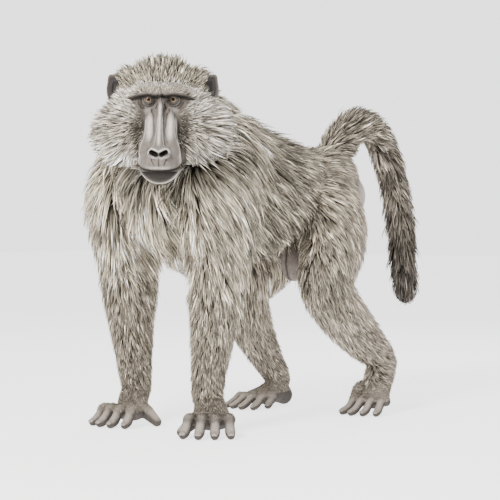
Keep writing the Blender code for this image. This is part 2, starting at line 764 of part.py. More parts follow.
def limb_sleeve(grow, stations, first, spread, end):
    """A sleeve round a limb from a station on: a straight tube along each span and one round the end.

    First counts half spans from the root, and end is the x, y of the hand or foot.
    """
    rows = smooth_rows(stations, 2)[first:]
    rows = [(x, y, z, w + c + spread + grow, d + c + spread + grow) for x, y, z, w, d, c in rows]
    spans = [[rows[0], *rows[2 - first % 2 : 3 - first % 2]]]
    spans += [rows[k : k + 3 : 2] for k in range(2 - first % 2, len(rows) - 2, 2)]
    shells = [tube(span, side=(1, 0, 0), steps=1, sides=10, cap_turns=(62, 30)) for span in spans]
    x, y = end
    wide, top = 0.130 + grow, rows[-1][2] + 0.012 + grow
    around = [(x, y, top, wide, wide), (x, y, -0.08, wide, wide)]
    shells.append(tube(around, steps=1, sides=12, caps=0.05, cap_turns=(45,)))
    return united(shells)


def tail_sleeve(grow):
    """A sleeve round the tail from where it leaves the rump."""
    rows = [(0, y, z, r + c + 0.012 + grow, r + c + 0.012 + grow) for y, z, r, c in TAIL]
    shells = [tube(rows[k : k + 2], steps=1, sides=10, cap_turns=(62, 30)) for k in range(1, len(rows) - 1)]
    return united(shells)


# Planes that part the nodes: a point and the direction towards the new node.
ELBOWS = {"left": ((0.139, -0.238, 0.372), (0, 0.05, -1)), "right": ((-0.170, -0.212, 0.372), (0, 0.05, -1))}
WRISTS = {"left": ((0.148, -0.290, 0.100), (0, -0.1, -1)), "right": ((-0.120, -0.238, 0.100), (0, -0.1, -1))}
KNEES = {"left": ((0.148, 0.150, 0.312), (0, 0.25, -1)), "right": ((-0.130, 0.172, 0.298), (0, 0.25, -1))}
ANKLES = {"left": ((0.173, 0.308, 0.164), (0.05, 0.5, -0.85)), "right": ((-0.131, 0.278, 0.106), (0, 0.35, -0.94))}
HEAD_PLANE = (tuple(head_point(0, -0.128, -0.03)), tuple(HEAD_FORWARD * 0.95 + Vector((0, 0, 0.30))))
NECK_PLANE = ((0.0, -0.150, 0.640), (0.05, -0.50, 0.86))
BELLY_PLANE = ((0.0, 0.000, 0.5), (0, 1, -0.08))
RUMP_PLANE = ((0.0, 0.185, 0.5), (0, 1, 0.10))
TAIL_PLANES = [
    ((0, 0.440, 0.727), (0, 1, 0.25)),
    ((0, 0.600, 0.640), (0, 0.6, -0.8)),
    ((0, 0.667, 0.455), (0, 0.2, -1)),
]

# Materials: colour, roughness.
MATERIALS = {
    "coat": ((0.150, 0.128, 0.098), 0.90),
    "mane": ((0.205, 0.180, 0.142), 0.92),
    "face_and_ruff": ((0.235, 0.215, 0.185), 0.88),
    "hands_and_feet": ((0.070, 0.062, 0.055), 0.75),
    "bare_skin": ((0.300, 0.235, 0.220), 0.62),
    "ear_skin": ((0.075, 0.062, 0.056), 0.75),
    "eye": ((0.240, 0.130, 0.045), 0.10),
    "tail_tip": ((0.080, 0.068, 0.055), 0.92),
}
SLOTS = {
    "head": "face_and_ruff", "neck": "mane", "chest": "mane", "belly": "coat", "rump": "coat",
    "ear": "ear_skin", "eye": "eye", "upper_arm": "mane", "forearm": "coat", "hand": "hands_and_feet",
    "thigh": "coat", "lower_leg": "coat", "foot": "hands_and_feet", "tail_1": "coat", "tail_2": "coat",
    "tail_3": "coat", "tail_4": "tail_tip", "scrotum": "bare_skin", "rump_pad": "bare_skin",
}


def finish(nodes):
    """Gives every node its material, puts its origin at its middle and hangs it on one empty.

    The empty carries the model so that the middle of its footprint is the origin.
    """
    made = {}
    for name, (colour, roughness) in MATERIALS.items():
        material = bpy.data.materials.new(name)
        material.use_nodes = True
        shader = material.node_tree.nodes["Principled BSDF"]
        shader.inputs["Base Color"].default_value = (*colour, 1)
        shader.inputs["Roughness"].default_value = roughness
        shader.inputs["Metallic"].default_value = 0.0
        material.diffuse_color = (*colour, 1)
        made[name] = material
    points = np.vstack([np.array([v.co for v in obj.data.vertices]) for obj in nodes.values()])
    low, high = points.min(axis=0), points.max(axis=0)
    root = bpy.data.objects.new("baboon", None)
    bpy.context.scene.collection.objects.link(root)
    root.location = (-(low[0] + high[0]) / 2, -(low[1] + high[1]) / 2, 0)
    for name, obj in nodes.items():
        obj.name = name
        obj.data.name = name
        obj.data.materials.clear()
        stem = name.replace("_left", "").replace("_right", "")
        obj.data.materials.append(made[SLOTS[stem]])
        corners = [Vector(c) for c in obj.bound_box]
        middle = sum(corners, Vector()) / 8
        obj.data.transform(Matrix.Translation(-middle))
        obj.location = middle
        obj.parent = root




# Locks of the long coat by region: apart along the lie, apart across it, length, width, thickness,
# rise of the tip, and the share of the length within which a station clings to the skin.
LOCKS = {
    "mane": (0.096, 0.058, 0.142, 0.060, 0.010, 0.030, 0.20),
    "shoulder": (0.104, 0.062, 0.142, 0.062, 0.010, 0.026, 0.20),
    "chest": (0.092, 0.056, 0.128, 0.056, 0.010, 0.028, 0.16),
}
RUFF_LOCK = (0, 0, 0.060, 0.036, 0.008, 0.006, 0.05)
RUFF_RING = 0.103
RUFF_TURNS = (31, 18, 5, -8, -21, -34, -47)
LOCK_SEED = 8
LOCK_SINK = 0.0105


def lie_lines():
    """Lines down the body's parts with the coat's direction at each point: rows of x, y, z, dx, dy, dz, reach."""
    rows = []

    def add(points, reach, extra=(0, 0, 0), weight=1.0):
        points = np.array(points, float)
        along = np.gradient(points, axis=0)
        along /= np.linalg.norm(along, axis=1)[:, None]
        for point, way in zip(points, along * weight + np.array(extra)):
            rows.append((*point, *way, reach))

    add([(0, y, z) for y, z, *_ in smooth_rows([r[:2] for r in TRUNK], 3)], 0.13, (0, 0, -0.55))
    add([(x, y, z) for x, y, z in smooth_rows([r[:3] for r in NECK[::-1]], 3)], 0.11, (0, 0.1, -0.75), 0.8)
    for arm in (LEFT_ARM, RIGHT_ARM):
        add(smooth_rows([r[:3] for r in arm], 3), 0.075, (0, 0.18, 0))
    for leg in (LEFT_LEG, RIGHT_LEG):
        add(smooth_rows([r[:3] for r in leg], 3), 0.075, (0, 0.15, -0.1))
    add([(0, y, z) for y, z in smooth_rows([r[:2] for r in TAIL[1:]], 4)], 0.045)
    return np.array(rows)


def lie(point, normal, lines):
    """The way the coat lies at a point of the skin, at right angles to the normal.

    On the head it runs away from the middle of the face. Elsewhere it is the mean of the lines' ways
    with the weights exp(-(distance / reach)^2).
    """
    away = np.linalg.norm(lines[:, :3] - point, axis=1)
    weight = np.exp(-((away / lines[:, 6]) ** 2)) + 1e-9
    way = (lines[:, 3:6] * weight[:, None]).sum(axis=0) / weight.sum()
    s, f, h = in_head_frame(np.array([point]))[0]
    head = 1 / (1 + math.exp((abs(f + 0.06) - 0.085) / 0.012)) / (1 + math.exp((abs(h + 0.03) - 0.15) / 0.02))
    radial = np.array(HEAD_SIDE) * s + np.array((0, 0, 1.0)) * (h + 0.045) - np.array(HEAD_FORWARD) * 0.05
    radial /= np.linalg.norm(radial) + 1e-9
    way = way / (np.linalg.norm(way) + 1e-9) * (1 - head) + radial * head
    way = way - normal * way.dot(normal)
    return way / (np.linalg.norm(way) + 1e-9)


def lock_region(point):
    """The region of long coat that a point of the skin is in, or None."""
    x, y, z = point
    s, f, h = in_head_frame(np.array([point]))[0]
    on_head = -0.125 < f < 0.150 and abs(s) < 0.19 and abs(h + 0.03) < 0.18
    if on_head or y > 0.05:
        return None
    if z > 0.60:
        return "mane"
    if z > 0.47:
        if y < -0.22 and abs(x) < 0.10:
            return "chest"
        return "shoulder" if y < -0.01 else None
    return "chest" if z > 0.36 and abs(x) < 0.085 and y < -0.10 else None


def lock(tree, start, normal, size, lines, rng):
    """A flat tapered lock that starts under the skin and follows the lie, its tip standing off.

    Its half width is width / 2 * (0.80, 1, 0.72, 0) at four stations and its section is a low triangle.
    A station at share t of the length lies rise * t^1.2 above the skin, and the root LOCK_SINK below it.
    """
    length, width, thickness, rise, cling = size[2:]
    length *= rng.uniform(0.88, 1.12)
    rise *= rng.uniform(0.85, 1.15)
    swing = rng.uniform(-0.16, 0.16)
    point, normal = np.array(start), np.array(normal)
    points = []
    for k, half in enumerate((0.80, 1.0, 0.72, 0.0)):
        t = k / 3
        way = lie(point, normal, lines)
        side = np.cross(way, normal)
        way = way * math.cos(swing) + side * math.sin(swing)
        middle = point + normal * (rise * t**1.2 - (LOCK_SINK if k == 0 else 0))
        if half:
            points += [middle + side * half * width / 2, middle + normal * thickness, middle - side * half * width / 2]
        onward = Vector(point + way * length / 3)
        near, facing, _, distance = tree.find_nearest(onward)
        if near is not None and distance < length * cling:
            point, normal = np.array(near), np.array(facing)
        else:
            point = np.array(onward)
    points.append(middle)
    faces = [(2, 1, 0)]
    for a in (0, 3):
        for i in range(3):
            n = (i + 1) % 3
            faces += [(a + i, a + n, a + 3 + n), (a + i, a + 3 + n, a + 3 + i)]
    faces += [(6 + i, 6 + (i + 1) % 3, 9) for i in range(3)]
    return mesh_object("lock", points, faces)


def lock_forms(whole):
    """Locks over the long coat, at seeded points of the skin.

    A point is kept where (along / apart along)^2 + (across / apart across)^2 > 1 from every earlier one.
    """
    rng = np.random.default_rng(LOCK_SEED)
    mesh = whole.data
    mesh.calc_loop_triangles()
    tree = BVHTree.FromPolygons([v.co[:] for v in mesh.vertices], [t.vertices[:] for t in mesh.loop_triangles])
    corners = np.array([[mesh.vertices[i].co[:] for i in t.vertices] for t in mesh.loop_triangles])
    across = np.cross(corners[:, 1] - corners[:, 0], corners[:, 2] - corners[:, 0])
    area = np.linalg.norm(across, axis=1)
    tries = 9000
    picks = rng.choice(len(area), size=tries, p=area / area.sum())
    u, v = rng.random((2, tries))
    flip = u + v > 1
    u[flip], v[flip] = 1 - u[flip], 1 - v[flip]
    spots = corners[picks, 0] + (corners[picks, 1] - corners[picks, 0]) * u[:, None]
    spots += (corners[picks, 2] - corners[picks, 0]) * v[:, None]
    normals = across[picks] / area[picks][:, None]
    lines = lie_lines()
    kept, ways, forms = np.empty((0, 3)), np.empty((0, 3)), []
    for spot, normal in zip(spots, normals):
        region = lock_region(spot)
        if region is None:
            continue
        size = LOCKS[region]
        away = kept - spot
        along = (away * ways).sum(axis=1)
        beside = np.linalg.norm(away - ways * along[:, None], axis=1)
        if np.any((along / size[0]) ** 2 + (beside / size[1]) ** 2 < 1):
            continue
        kept = np.vstack([kept, spot])
        ways = np.vstack([ways, lie(spot, normal, lines)])
        forms.append(lock(tree, spot, normal, size, lines, rng))
    for side in (1, -1):
        for turn in np.radians(RUFF_TURNS):
            s, h = side * RUFF_RING * math.cos(turn), RUFF_RING * math.sin(turn) - 0.045
            spot, normal, _, _ = tree.ray_cast(head_point(s, 0.2, h), -HEAD_FORWARD)
            if spot is not None:
                forms.append(lock(tree, spot, normal, RUFF_LOCK, lines, rng))
    return forms


def locked(whole):
    """Unites the locks with the flesh, in pairs, then pairs of pairs."""
    shells = lock_forms(whole)
    while len(shells) > 1:
        paired = []
        for k in range(0, len(shells) - 1, 2):
            combined(shells[k], shells[k + 1], "UNION")
            bpy.data.objects.remove(shells[k + 1], do_unlink=True)
            paired.append(shells[k])
        if len(shells) % 2:
            paired.append(shells[-1])
        shells = paired
    combined(whole, shells[0], "UNION")
    bpy.data.objects.remove(shells[0], do_unlink=True)
    return largest_piece(whole)


FIRST_TRIANGLES = 5000
BODY_TRIANGLES = 2900
HEAD_TRIANGLES = 1450
WRIST_HEIGHT = 0.100


def build():
    clear_scene()
    forms = [trunk_form(), neck_form(), tail_form()]
    forms += [arm_form(rows) for rows in (LEFT_ARM, RIGHT_ARM)]
    forms += [leg_form(rows) for rows in (LEFT_LEG, RIGHT_LEG)]
    forms += torso_muscles()
    forms += hand_forms(**LEFT_HAND) + hand_forms(**RIGHT_HAND)
    forms += foot_forms(**LEFT_FOOT) + foot_forms(**RIGHT_FOOT)
    whole = melted(forms, "whole", BODY_VOXEL, 4, FIRST_TRIANGLES)
    thinned(whole, BODY_TRIANGLES, WRIST_HEIGHT)
    head = head_whole(HEAD_TRIANGLES)
    combined(whole, head, "UNION")
    bpy.data.objects.remove(head, do_unlink=True)
    locked(whole)
    floor = slab((0, 0, 0), (0, 0, 1))
    combined(whole, floor, "INTERSECT")
    bpy.data.objects.remove(floor, do_unlink=True)
    nodes = {}
    limbs = (
        ("left", LEFT_ARM, (0.188, -0.330), "upper_arm", "forearm", "hand", ELBOWS, WRISTS, 1, 0.010),
        ("right", RIGHT_ARM, (-0.109, -0.297), "upper_arm", "forearm", "hand", ELBOWS, WRISTS, 1, 0.010),
        ("left", LEFT_LEG, (0.190, 0.255), "thigh", "lower_leg", "foot", KNEES, ANKLES, 1, 0.010),
        ("right", RIGHT_LEG, (-0.128, 0.225), "thigh", "lower_leg", "foot", KNEES, ANKLES, 1, 0.010),
    )
    for side, rows, end, upper, lower, last, hinge, tip, first, spread in limbs:
        limb = sleeve_part(whole, "limb", limb_sleeve, rows, first, spread, end)
        rest = plane_part(limb, "rest", *hinge[side])
        nodes[last + "_" + side] = plane_part(rest, "last", *tip[side])
        nodes[upper + "_" + side] = limb
        nodes[lower + "_" + side] = rest
    tail = sleeve_part(whole, "tail", tail_sleeve)
    for k, plane in enumerate(TAIL_PLANES):
        beyond = plane_part(tail, "tail", *plane)
        nodes["tail_%d" % (k + 1)] = tail
        tail = beyond
    nodes["tail_4"] = tail
    scrotum = scrotum_form(0.0)
    hollow = scrotum_form(GAP)
    combined(whole, hollow, "DIFFERENCE")
    for thigh in ("thigh_left", "thigh_right"):
        combined(nodes[thigh], hollow, "DIFFERENCE")
        largest_piece(nodes[thigh])
    bpy.data.objects.remove(hollow, do_unlink=True)
    nodes["scrotum"] = scrotum
    nodes["head"] = plane_part(whole, "head", *HEAD_PLANE)
    nodes["neck"] = plane_part(whole, "neck", *NECK_PLANE)
    belly = plane_part(whole, "belly", *BELLY_PLANE)
    nodes["chest"] = whole
    rump = plane_part(belly, "rump", *RUMP_PLANE)
    nodes["belly"] = belly
    for side, name in ((1, "left"), (-1, "right")):
        nodes["rump_pad_" + name] = sleeve_part(rump, "pad", pad_form, side)
        plug = ear_form(side, GAP, filled=True)
        for near in ("head", "neck"):
            combined(nodes[near], plug, "DIFFERENCE")
            largest_piece(nodes[near])
        bpy.data.objects.remove(plug, do_unlink=True)
        nodes["ear_" + name] = ear_form(side)
        s, f, h = EYE
        nodes["eye_" + name] = head_ellipsoid(side * s, f, h, (EYE_RADIUS,) * 3, 0)
    nodes["rump"] = rump
    finish(nodes)


build()
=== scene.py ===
"""The looks of the baboon: skin, face, eyes, nails and coat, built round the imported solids."""

import math

import bpy
import numpy as np
from mathutils import Matrix, Vector
from mathutils.bvhtree import BVHTree
from mathutils.kdtree import KDTree


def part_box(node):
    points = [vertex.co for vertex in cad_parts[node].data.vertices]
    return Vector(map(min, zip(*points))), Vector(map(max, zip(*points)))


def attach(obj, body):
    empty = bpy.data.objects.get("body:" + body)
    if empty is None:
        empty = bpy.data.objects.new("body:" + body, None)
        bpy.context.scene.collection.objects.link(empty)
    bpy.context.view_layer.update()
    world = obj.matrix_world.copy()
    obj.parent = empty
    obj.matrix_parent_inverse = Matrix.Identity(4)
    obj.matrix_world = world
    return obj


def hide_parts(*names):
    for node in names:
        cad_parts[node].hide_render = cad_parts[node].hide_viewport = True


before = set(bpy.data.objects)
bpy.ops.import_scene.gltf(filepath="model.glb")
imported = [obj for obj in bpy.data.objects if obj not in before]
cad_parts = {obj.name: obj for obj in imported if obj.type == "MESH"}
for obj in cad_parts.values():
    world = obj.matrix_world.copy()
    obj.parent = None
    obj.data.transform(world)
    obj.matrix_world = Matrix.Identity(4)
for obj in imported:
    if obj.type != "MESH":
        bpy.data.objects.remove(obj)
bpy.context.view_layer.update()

# The head's place. The animal faces -Y with its left side at +X, and turns its head 40 degrees to
# its left. All sizes below are in metres from a point on the floor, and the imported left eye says
# how far that point is from the frame's origin.
EYE_MIDDLE = np.array((0.105, -0.395, 0.748))
HEAD_TURN = math.radians(40)
FORWARD = np.array((math.sin(HEAD_TURN), -math.cos(HEAD_TURN), 0.0))
SIDE = np.array((math.cos(HEAD_TURN), math.sin(HEAD_TURN), 0.0))
UP = np.array((0.0, 0.0, 1.0))
EYE = (0.0275, -0.0120, -0.0005)


def from_head(rows):
    """The model's points for rows of s, f, h: to the head's left, forward and up from between the eyes."""
    rows = np.atleast_2d(np.array(rows, float))
    return EYE_MIDDLE + rows[:, :1] * SIDE + rows[:, 1:2] * FORWARD + rows[:, 2:3] * UP


def to_head(points):
    """Rows of s, f, h for points of the model's frame."""
    away = points - EYE_MIDDLE
    return np.stack([away @ SIDE, away @ FORWARD, away[:, 2]], axis=1)


eye_low, eye_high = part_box("eye_left")
SHIFT = np.array((eye_low + eye_high) / 2) - from_head(EYE)[0]


# Skin of the body. A real hide is thin and loose over muscle: here trunk, limbs, hands, feet, tail,
# scrotum and rump pads are melted into one surface, which lies under the coat by most of its depth.
# This share of the coat's depth is built into the skin, and the locks of hair stand over it.
UNDERFUR = 0.35
BODY_GRAIN = 0.0026
BODY_TRIANGLES = 92000
SKIN_SMOOTHING = 5
# Along the spine: y, z, half width, half height, depth of coat.
TRUNK = [
    (-0.265, 0.540, 0.070, 0.100, 0.045),
    (-0.200, 0.550, 0.102, 0.142, 0.050),
    (-0.100, 0.547, 0.112, 0.144, 0.052),
    (0.000, 0.543, 0.112, 0.122, 0.042),
    (0.100, 0.551, 0.106, 0.100, 0.032),
    (0.200, 0.553, 0.096, 0.084, 0.026),
    (0.275, 0.551, 0.090, 0.084, 0.022),
    (0.318, 0.540, 0.072, 0.070, 0.018),
]
# Neck and limbs: x, y, z, half width, half depth, depth of coat.
NECK = [
    (0.000, -0.090, 0.600, 0.085, 0.088, 0.058),
    (0.000, -0.165, 0.645, 0.078, 0.084, 0.060),
    (0.012, -0.235, 0.690, 0.068, 0.072, 0.055),
    (0.032, -0.290, 0.725, 0.055, 0.058, 0.040),
]
LEFT_ARM = [
    (0.078, -0.170, 0.625, 0.036, 0.062, 0.040),
    (0.108, -0.225, 0.555, 0.054, 0.074, 0.040),
    (0.130, -0.240, 0.470, 0.046, 0.060, 0.036),
    (0.139, -0.238, 0.380, 0.038, 0.046, 0.030),
    (0.140, -0.250, 0.290, 0.036, 0.040, 0.022),
    (0.144, -0.274, 0.180, 0.029, 0.031, 0.015),
    (0.149, -0.292, 0.085, 0.025, 0.027, 0.009),
]
RIGHT_ARM = [
    (-0.088, -0.160, 0.625, 0.036, 0.062, 0.048),
    (-0.132, -0.218, 0.555, 0.054, 0.074, 0.050),
    (-0.158, -0.224, 0.470, 0.046, 0.060, 0.038),
    (-0.170, -0.212, 0.380, 0.038, 0.046, 0.030),
    (-0.164, -0.214, 0.290, 0.036, 0.040, 0.023),
    (-0.140, -0.228, 0.180, 0.029, 0.031, 0.016),
    (-0.118, -0.240, 0.085, 0.024, 0.026, 0.009),
]
LEFT_LEG = [
    (0.060, 0.270, 0.570, 0.050, 0.074, 0.022),
    (0.098, 0.236, 0.500, 0.058, 0.080, 0.022),
    (0.128, 0.198, 0.405, 0.048, 0.067, 0.024),
    (0.148, 0.146, 0.325, 0.038, 0.050, 0.022),
    (0.158, 0.188, 0.258, 0.036, 0.045, 0.021),
    (0.170, 0.268, 0.186, 0.028, 0.037, 0.018),
    (0.177, 0.326, 0.145, 0.022, 0.027, 0.011),
]
RIGHT_LEG = [
    (-0.060, 0.270, 0.570, 0.050, 0.074, 0.022),
    (-0.090, 0.256, 0.500, 0.058, 0.090, 0.022),
    (-0.114, 0.228, 0.400, 0.048, 0.080, 0.034),
    (-0.130, 0.164, 0.310, 0.037, 0.052, 0.026),
    (-0.135, 0.192, 0.225, 0.032, 0.043, 0.020),
    (-0.134, 0.258, 0.132, 0.023, 0.030, 0.015),
    (-0.130, 0.298, 0.075, 0.021, 0.026, 0.010),
]
# Tail: y, z, half thickness, depth of coat.
TAIL = [
    (0.290, 0.578, 0.030, 0.020),
    (0.352, 0.628, 0.025, 0.026),
    (0.412, 0.690, 0.020, 0.028),
    (0.476, 0.727, 0.017, 0.026),
    (0.560, 0.697, 0.015, 0.025),
    (0.627, 0.599, 0.014, 0.025),
    (0.662, 0.480, 0.013, 0.026),
    (0.679, 0.370, 0.010, 0.027),
    (0.690, 0.290, 0.006, 0.024),
]
# Scrotum: x, y, z, half width, half depth.
SCROTUM = [
    (0.004, 0.200, 0.440, 0.022, 0.020),
    (0.006, 0.198, 0.405, 0.030, 0.026),
    (0.008, 0.197, 0.370, 0.035, 0.030),
    (0.008, 0.197, 0.352, 0.030, 0.026),
]
# Rounded masses of the left half: middle and radii. The right shoulder has one more on top.
SHOULDER = ((0.080, -0.150, 0.605), (0.058, 0.087, 0.097))
HAUNCH = ((0.076, 0.278, 0.530), (0.064, 0.084, 0.098))
RIGHT_SHOULDER_TOP = ((-0.138, -0.218, 0.608), (0.058, 0.062, 0.066))
PAD = ((0.070, 0.338, 0.534), (0.041, 0.037, 0.052))
BUTTOCK = ((0.098, 0.306, 0.538), (0.040, 0.044, 0.053))
PADS_BARE = [
    ((0.070, 0.350, 0.534), (0.047, 0.050, 0.060)),
    ((0.103, 0.318, 0.540), (0.047, 0.058, 0.054)),
]


def smooth_rows(rows, steps):
    """Catmull-Rom curve through rows of numbers, with some steps in each span."""
    rows = np.array(rows, float)
    padded = np.vstack([2 * rows[0] - rows[1], rows, 2 * rows[-1] - rows[-2]])
    t = (np.arange(steps) / steps)[:, None]
    out = []
    for a, b, c, d in zip(padded, padded[1:], padded[2:], padded[3:]):
        second = (2 * a - 5 * b + 4 * c - d) * t**2
        third = (3 * b - a - 3 * c + d) * t**3
        out.append(0.5 * (2 * b + (c - a) * t + second + third))
    return np.vstack(out + [rows[-1:]])


def ring_quads(rings, sides):
    """Rows of four points between each ring and the next: two neighbours of one, then of the other."""
    first, place = np.arange(rings - 1)[:, None] * sides, np.arange(sides)[None, :]
    onward = (place + 1) % sides
    corners = [first + place, first + onward, first + sides + onward, first + sides + place]
    return np.stack(corners, axis=2).reshape(-1, 4)


def closed_rings(rings, sides):
    """The faces of a closed form made of rings: the quads between them, and one face over each end."""
    last = (rings - 1) * sides
    ends = [tuple(range(sides))[::-1], tuple(range(last, last + sides))]
    return [tuple(q) for q in ring_quads(rings, sides).tolist()] + ends


def tube(stations, side=(1, 0, 0), steps=5, sides=32, square=2.0, caps=1.0):
    """A closed tube through rows of x, y, z, half width, half height, with rounded ends.

    A ring's point is centre + width * cos(a) * across + height * sin(a) * up, with cos and sin raised
    to the power 2 / square. The ends are quarter turns, caps times as long as the half height.
    """
    rows = smooth_rows(stations, steps)
    centres, halves = rows[:, :3], np.maximum(rows[:, 3:5], 1e-4)
    along = np.gradient(centres, axis=0)
    along /= np.linalg.norm(along, axis=1)[:, None]
    wide = np.array(side, float) - along * (along @ np.array(side, float))[:, None]
    wide /= np.linalg.norm(wide, axis=1)[:, None]
    high = np.cross(wide, along)
    turn = 2 * np.pi * np.arange(sides) / sides
    c, s = np.cos(turn), np.sin(turn)
    c, s = np.sign(c) * np.abs(c) ** (2 / square), np.sign(s) * np.abs(s) ** (2 / square)
    cap = np.radians((88, 72, 54, 36, 18))
    index = [0] * len(cap) + list(range(len(rows))) + [-1] * len(cap)
    size = np.concatenate([np.cos(cap), np.ones(len(rows)), np.cos(cap[::-1])])
    shift = np.concatenate([-np.sin(cap), np.zeros(len(rows)), np.sin(cap[::-1])]) * caps
    middle = centres[index] + along[index] * (shift * halves[index, 1])[:, None]
    across = wide[index] * (size * halves[index, 0])[:, None]
    upward = high[index] * (size * halves[index, 1])[:, None]
    points = middle[:, None] + c[None, :, None] * across[:, None] + s[None, :, None] * upward[:, None]
    return points.reshape(-1, 3), closed_rings(len(index), sides)


def ball(centre, radii, axes=np.eye(3), sides=32):
    """A closed ellipsoid: centre + axes @ (radii * unit sphere)."""
    lifts = np.linspace(-np.pi / 2, np.pi / 2, sides // 2 + 1)[1:-1]
    lift, turn = np.meshgrid(lifts, np.arange(sides) * 2 * np.pi / sides)
    unit = np.stack([np.cos(lift) * np.cos(turn), np.cos(lift) * np.sin(turn), np.sin(lift)], axis=2)
    unit = unit.transpose(1, 0, 2).reshape(-1, 3)
    points = np.array(centre) + (unit * np.array(radii)) @ np.array(axes, float).T
    return points, closed_rings(len(lifts), sides)


def new_object(name, points, faces):
    """A mesh object at the frame's origin, from points of the model's frame and faces."""
    mesh = bpy.data.meshes.new(name)
    mesh.from_pydata((np.asarray(points) + SHIFT).tolist(), [], faces)
    mesh.polygons.foreach_set("use_smooth", [True] * len(mesh.polygons))
    obj = bpy.data.objects.new(name, mesh)
    bpy.context.scene.collection.objects.link(obj)
    return obj


def joined_forms(forms):
    """One list of points and one of faces from several."""
    points, faces, base = [], [], 0
    for some, rings in forms:
        points.append(some)
        faces += [tuple(i + base for i in face) for face in rings]
        base += len(some)
    return np.vstack(points), faces


def baked(obj):
    """Replaces an object's mesh by what its modifiers make of it."""
    bpy.context.view_layer.update()
    mesh = bpy.data.meshes.new_from_object(obj.evaluated_get(bpy.context.evaluated_depsgraph_get()))
    obj.modifiers.clear()
    obj.data = mesh
    return obj


def melted(name, forms, grain, smoothing):
    """Melts overlapping closed forms into one surface of a grain, then relaxes it."""
    obj = new_object(name, *joined_forms(forms))
    remesh = obj.modifiers.new("melt", "REMESH")
    remesh.mode = "VOXEL"
    remesh.voxel_size = grain
    remesh.use_smooth_shade = True
    relax = obj.modifiers.new("relax", "SMOOTH")
    relax.factor = 0.5
    relax.iterations = smoothing
    return baked(obj)


def thinned(obj, triangles):
    """Thins a mesh to about some triangles, fewest where it is flattest."""
    thin = obj.modifiers.new("thin", "DECIMATE")
    thin.ratio = min(1.0, triangles / sum(len(p.vertices) - 2 for p in obj.data.polygons))
    return baked(obj)


def points_of(obj):
    """An object's vertices as rows, in the model's frame."""
    flat = np.empty(len(obj.data.vertices) * 3)
    obj.data.vertices.foreach_get("co", flat)
    return flat.reshape(-1, 3) - SHIFT


def normals_of(obj):
    """An object's vertex normals as rows."""
    flat = np.empty(len(obj.data.vertices) * 3)
    obj.data.vertices.foreach_get("normal", flat)
    return flat.reshape(-1, 3)


def put_points(obj, points):
    """Moves an object's vertices to rows of the model's frame."""
    obj.data.vertices.foreach_set("co", (points + SHIFT).ravel())
    obj.data.update()


def across_and_ahead(pointing, mirror):
    """The directions across and along a hand or foot that points some degrees from -Y towards +X."""
    angle = math.radians(pointing)
    across = np.array((math.cos(angle), math.sin(angle), 0)) * mirror
    return across, np.array((math.sin(angle), -math.cos(angle), 0))


def turned(way, degrees):
    """A level direction turned about the vertical."""
    angle = math.radians(degrees)
    c, s = math.cos(angle), math.sin(angle)
    return np.array((c * way[0] - s * way[1], s * way[0] + c * way[1], way[2]))


# Each finger and toe's tip, the point before it, its way, the way across it and its thickness.
digits = []
TIP_SWELL = 0.72


def digit(root, way, length, thickness, bend, across):
    """A finger or toe: a tube from its root over a raised joint to a padded tip on the floor.

    Its joints lie at shares of its length, swell by shares of its thickness and rise by shares of bend. It
    keeps its tip for the nail.
    """
    shares = np.array((0.0, 0.24, 0.45, 0.62, 0.80, 1.0))
    swell = np.array((1.0, 0.93, 1.00, 0.84, 0.88, TIP_SWELL))
    lift = np.array((0.0, bend * 0.75, bend, bend * 0.4, 0.0, 0.0))
    middle = root + way * (length * shares)[:, None]
    low = np.array((0.0, 0.0, 0.0, 0.5, 1.0, 1.0))
    floor = thickness * np.array((0, 0, 0, 1.3, 1.15, TIP_SWELL))
    middle[:, 2] = (root[2] + lift) * (1 - low) + floor * low
    digits.append((middle[-1], middle[-2], way, across, thickness))
    rows = [(*p, thickness * k, thickness * k) for p, k in zip(middle, swell)]
    return tube(rows, side=tuple(across), sides=20, steps=3)


FINGER_LENGTHS = (0.94, 1.0, 0.96, 0.86)
FINGER_THICKNESS = 0.0134
FINGER_GAP = 0.0255
FINGER_FAN = 9
THUMB_HEIGHT = 0.0105
THUMB_THICKNESS = 0.0115
TOE_LENGTHS = (0.95, 1.0, 0.95, 0.84)
TOE_THICKNESS = 0.0116
TOE_GAP = 0.0215
TOE_FAN = 7
GREAT_TOE_THICKNESS = 0.0130


def hand_forms(wrist, palm, pointing, mirror, finger, rise, thumb):
    """Palm, four fingers and a thumb on the floor. Mirror is 1 where the thumb is on the -X side.

    Thumb is how far its tip lies inwards of the palm's middle and ahead of it.
    """
    across, ahead = across_and_ahead(pointing, mirror)
    wrist, palm = np.array(wrist), np.array(palm)
    knuckles = palm + ahead * 0.030 + UP * rise
    rows = [
        (wrist + UP * 0.030, 0.026, 0.028),
        (wrist, 0.029, 0.029),
        (wrist * 0.50 + palm * 0.50 + UP * 0.018, 0.036, 0.029),
        (palm + UP * rise * 0.86, 0.045, 0.022),
        (knuckles, 0.046, 0.0145),
    ]
    forms = [tube([(*p, w, t) for p, w, t in rows], side=tuple(across), sides=32, caps=0.5)]
    for k in range(4):
        share = k - 1.5
        way = turned(ahead, share * FINGER_FAN * mirror)
        root = knuckles + across * share * FINGER_GAP - ahead * (0.004 + 0.005 * abs(share))
        forms.append(digit(root, way, finger * FINGER_LENGTHS[k], FINGER_THICKNESS, 0.003, across))
        forms.append(ball(root + UP * 0.004, (0.0115, 0.0115, 0.0110)))
    base = wrist * 0.55 + palm * 0.45 - across * 0.020
    tip = palm - across * thumb[0] + ahead * thumb[1]
    end = tip + UP * THUMB_HEIGHT
    rows = [(base, 0.0170), ((base + tip) / 2 + UP * 0.006, 0.0155), (end, THUMB_THICKNESS)]
    forms.append(tube([(*p, r, r) for p, r in rows], side=tuple(ahead), sides=20))
    way = (tip - base) / np.linalg.norm(tip - base)
    digits.append((end, tip - (tip - base) * 0.3, way, ahead, THUMB_THICKNESS))
    return forms


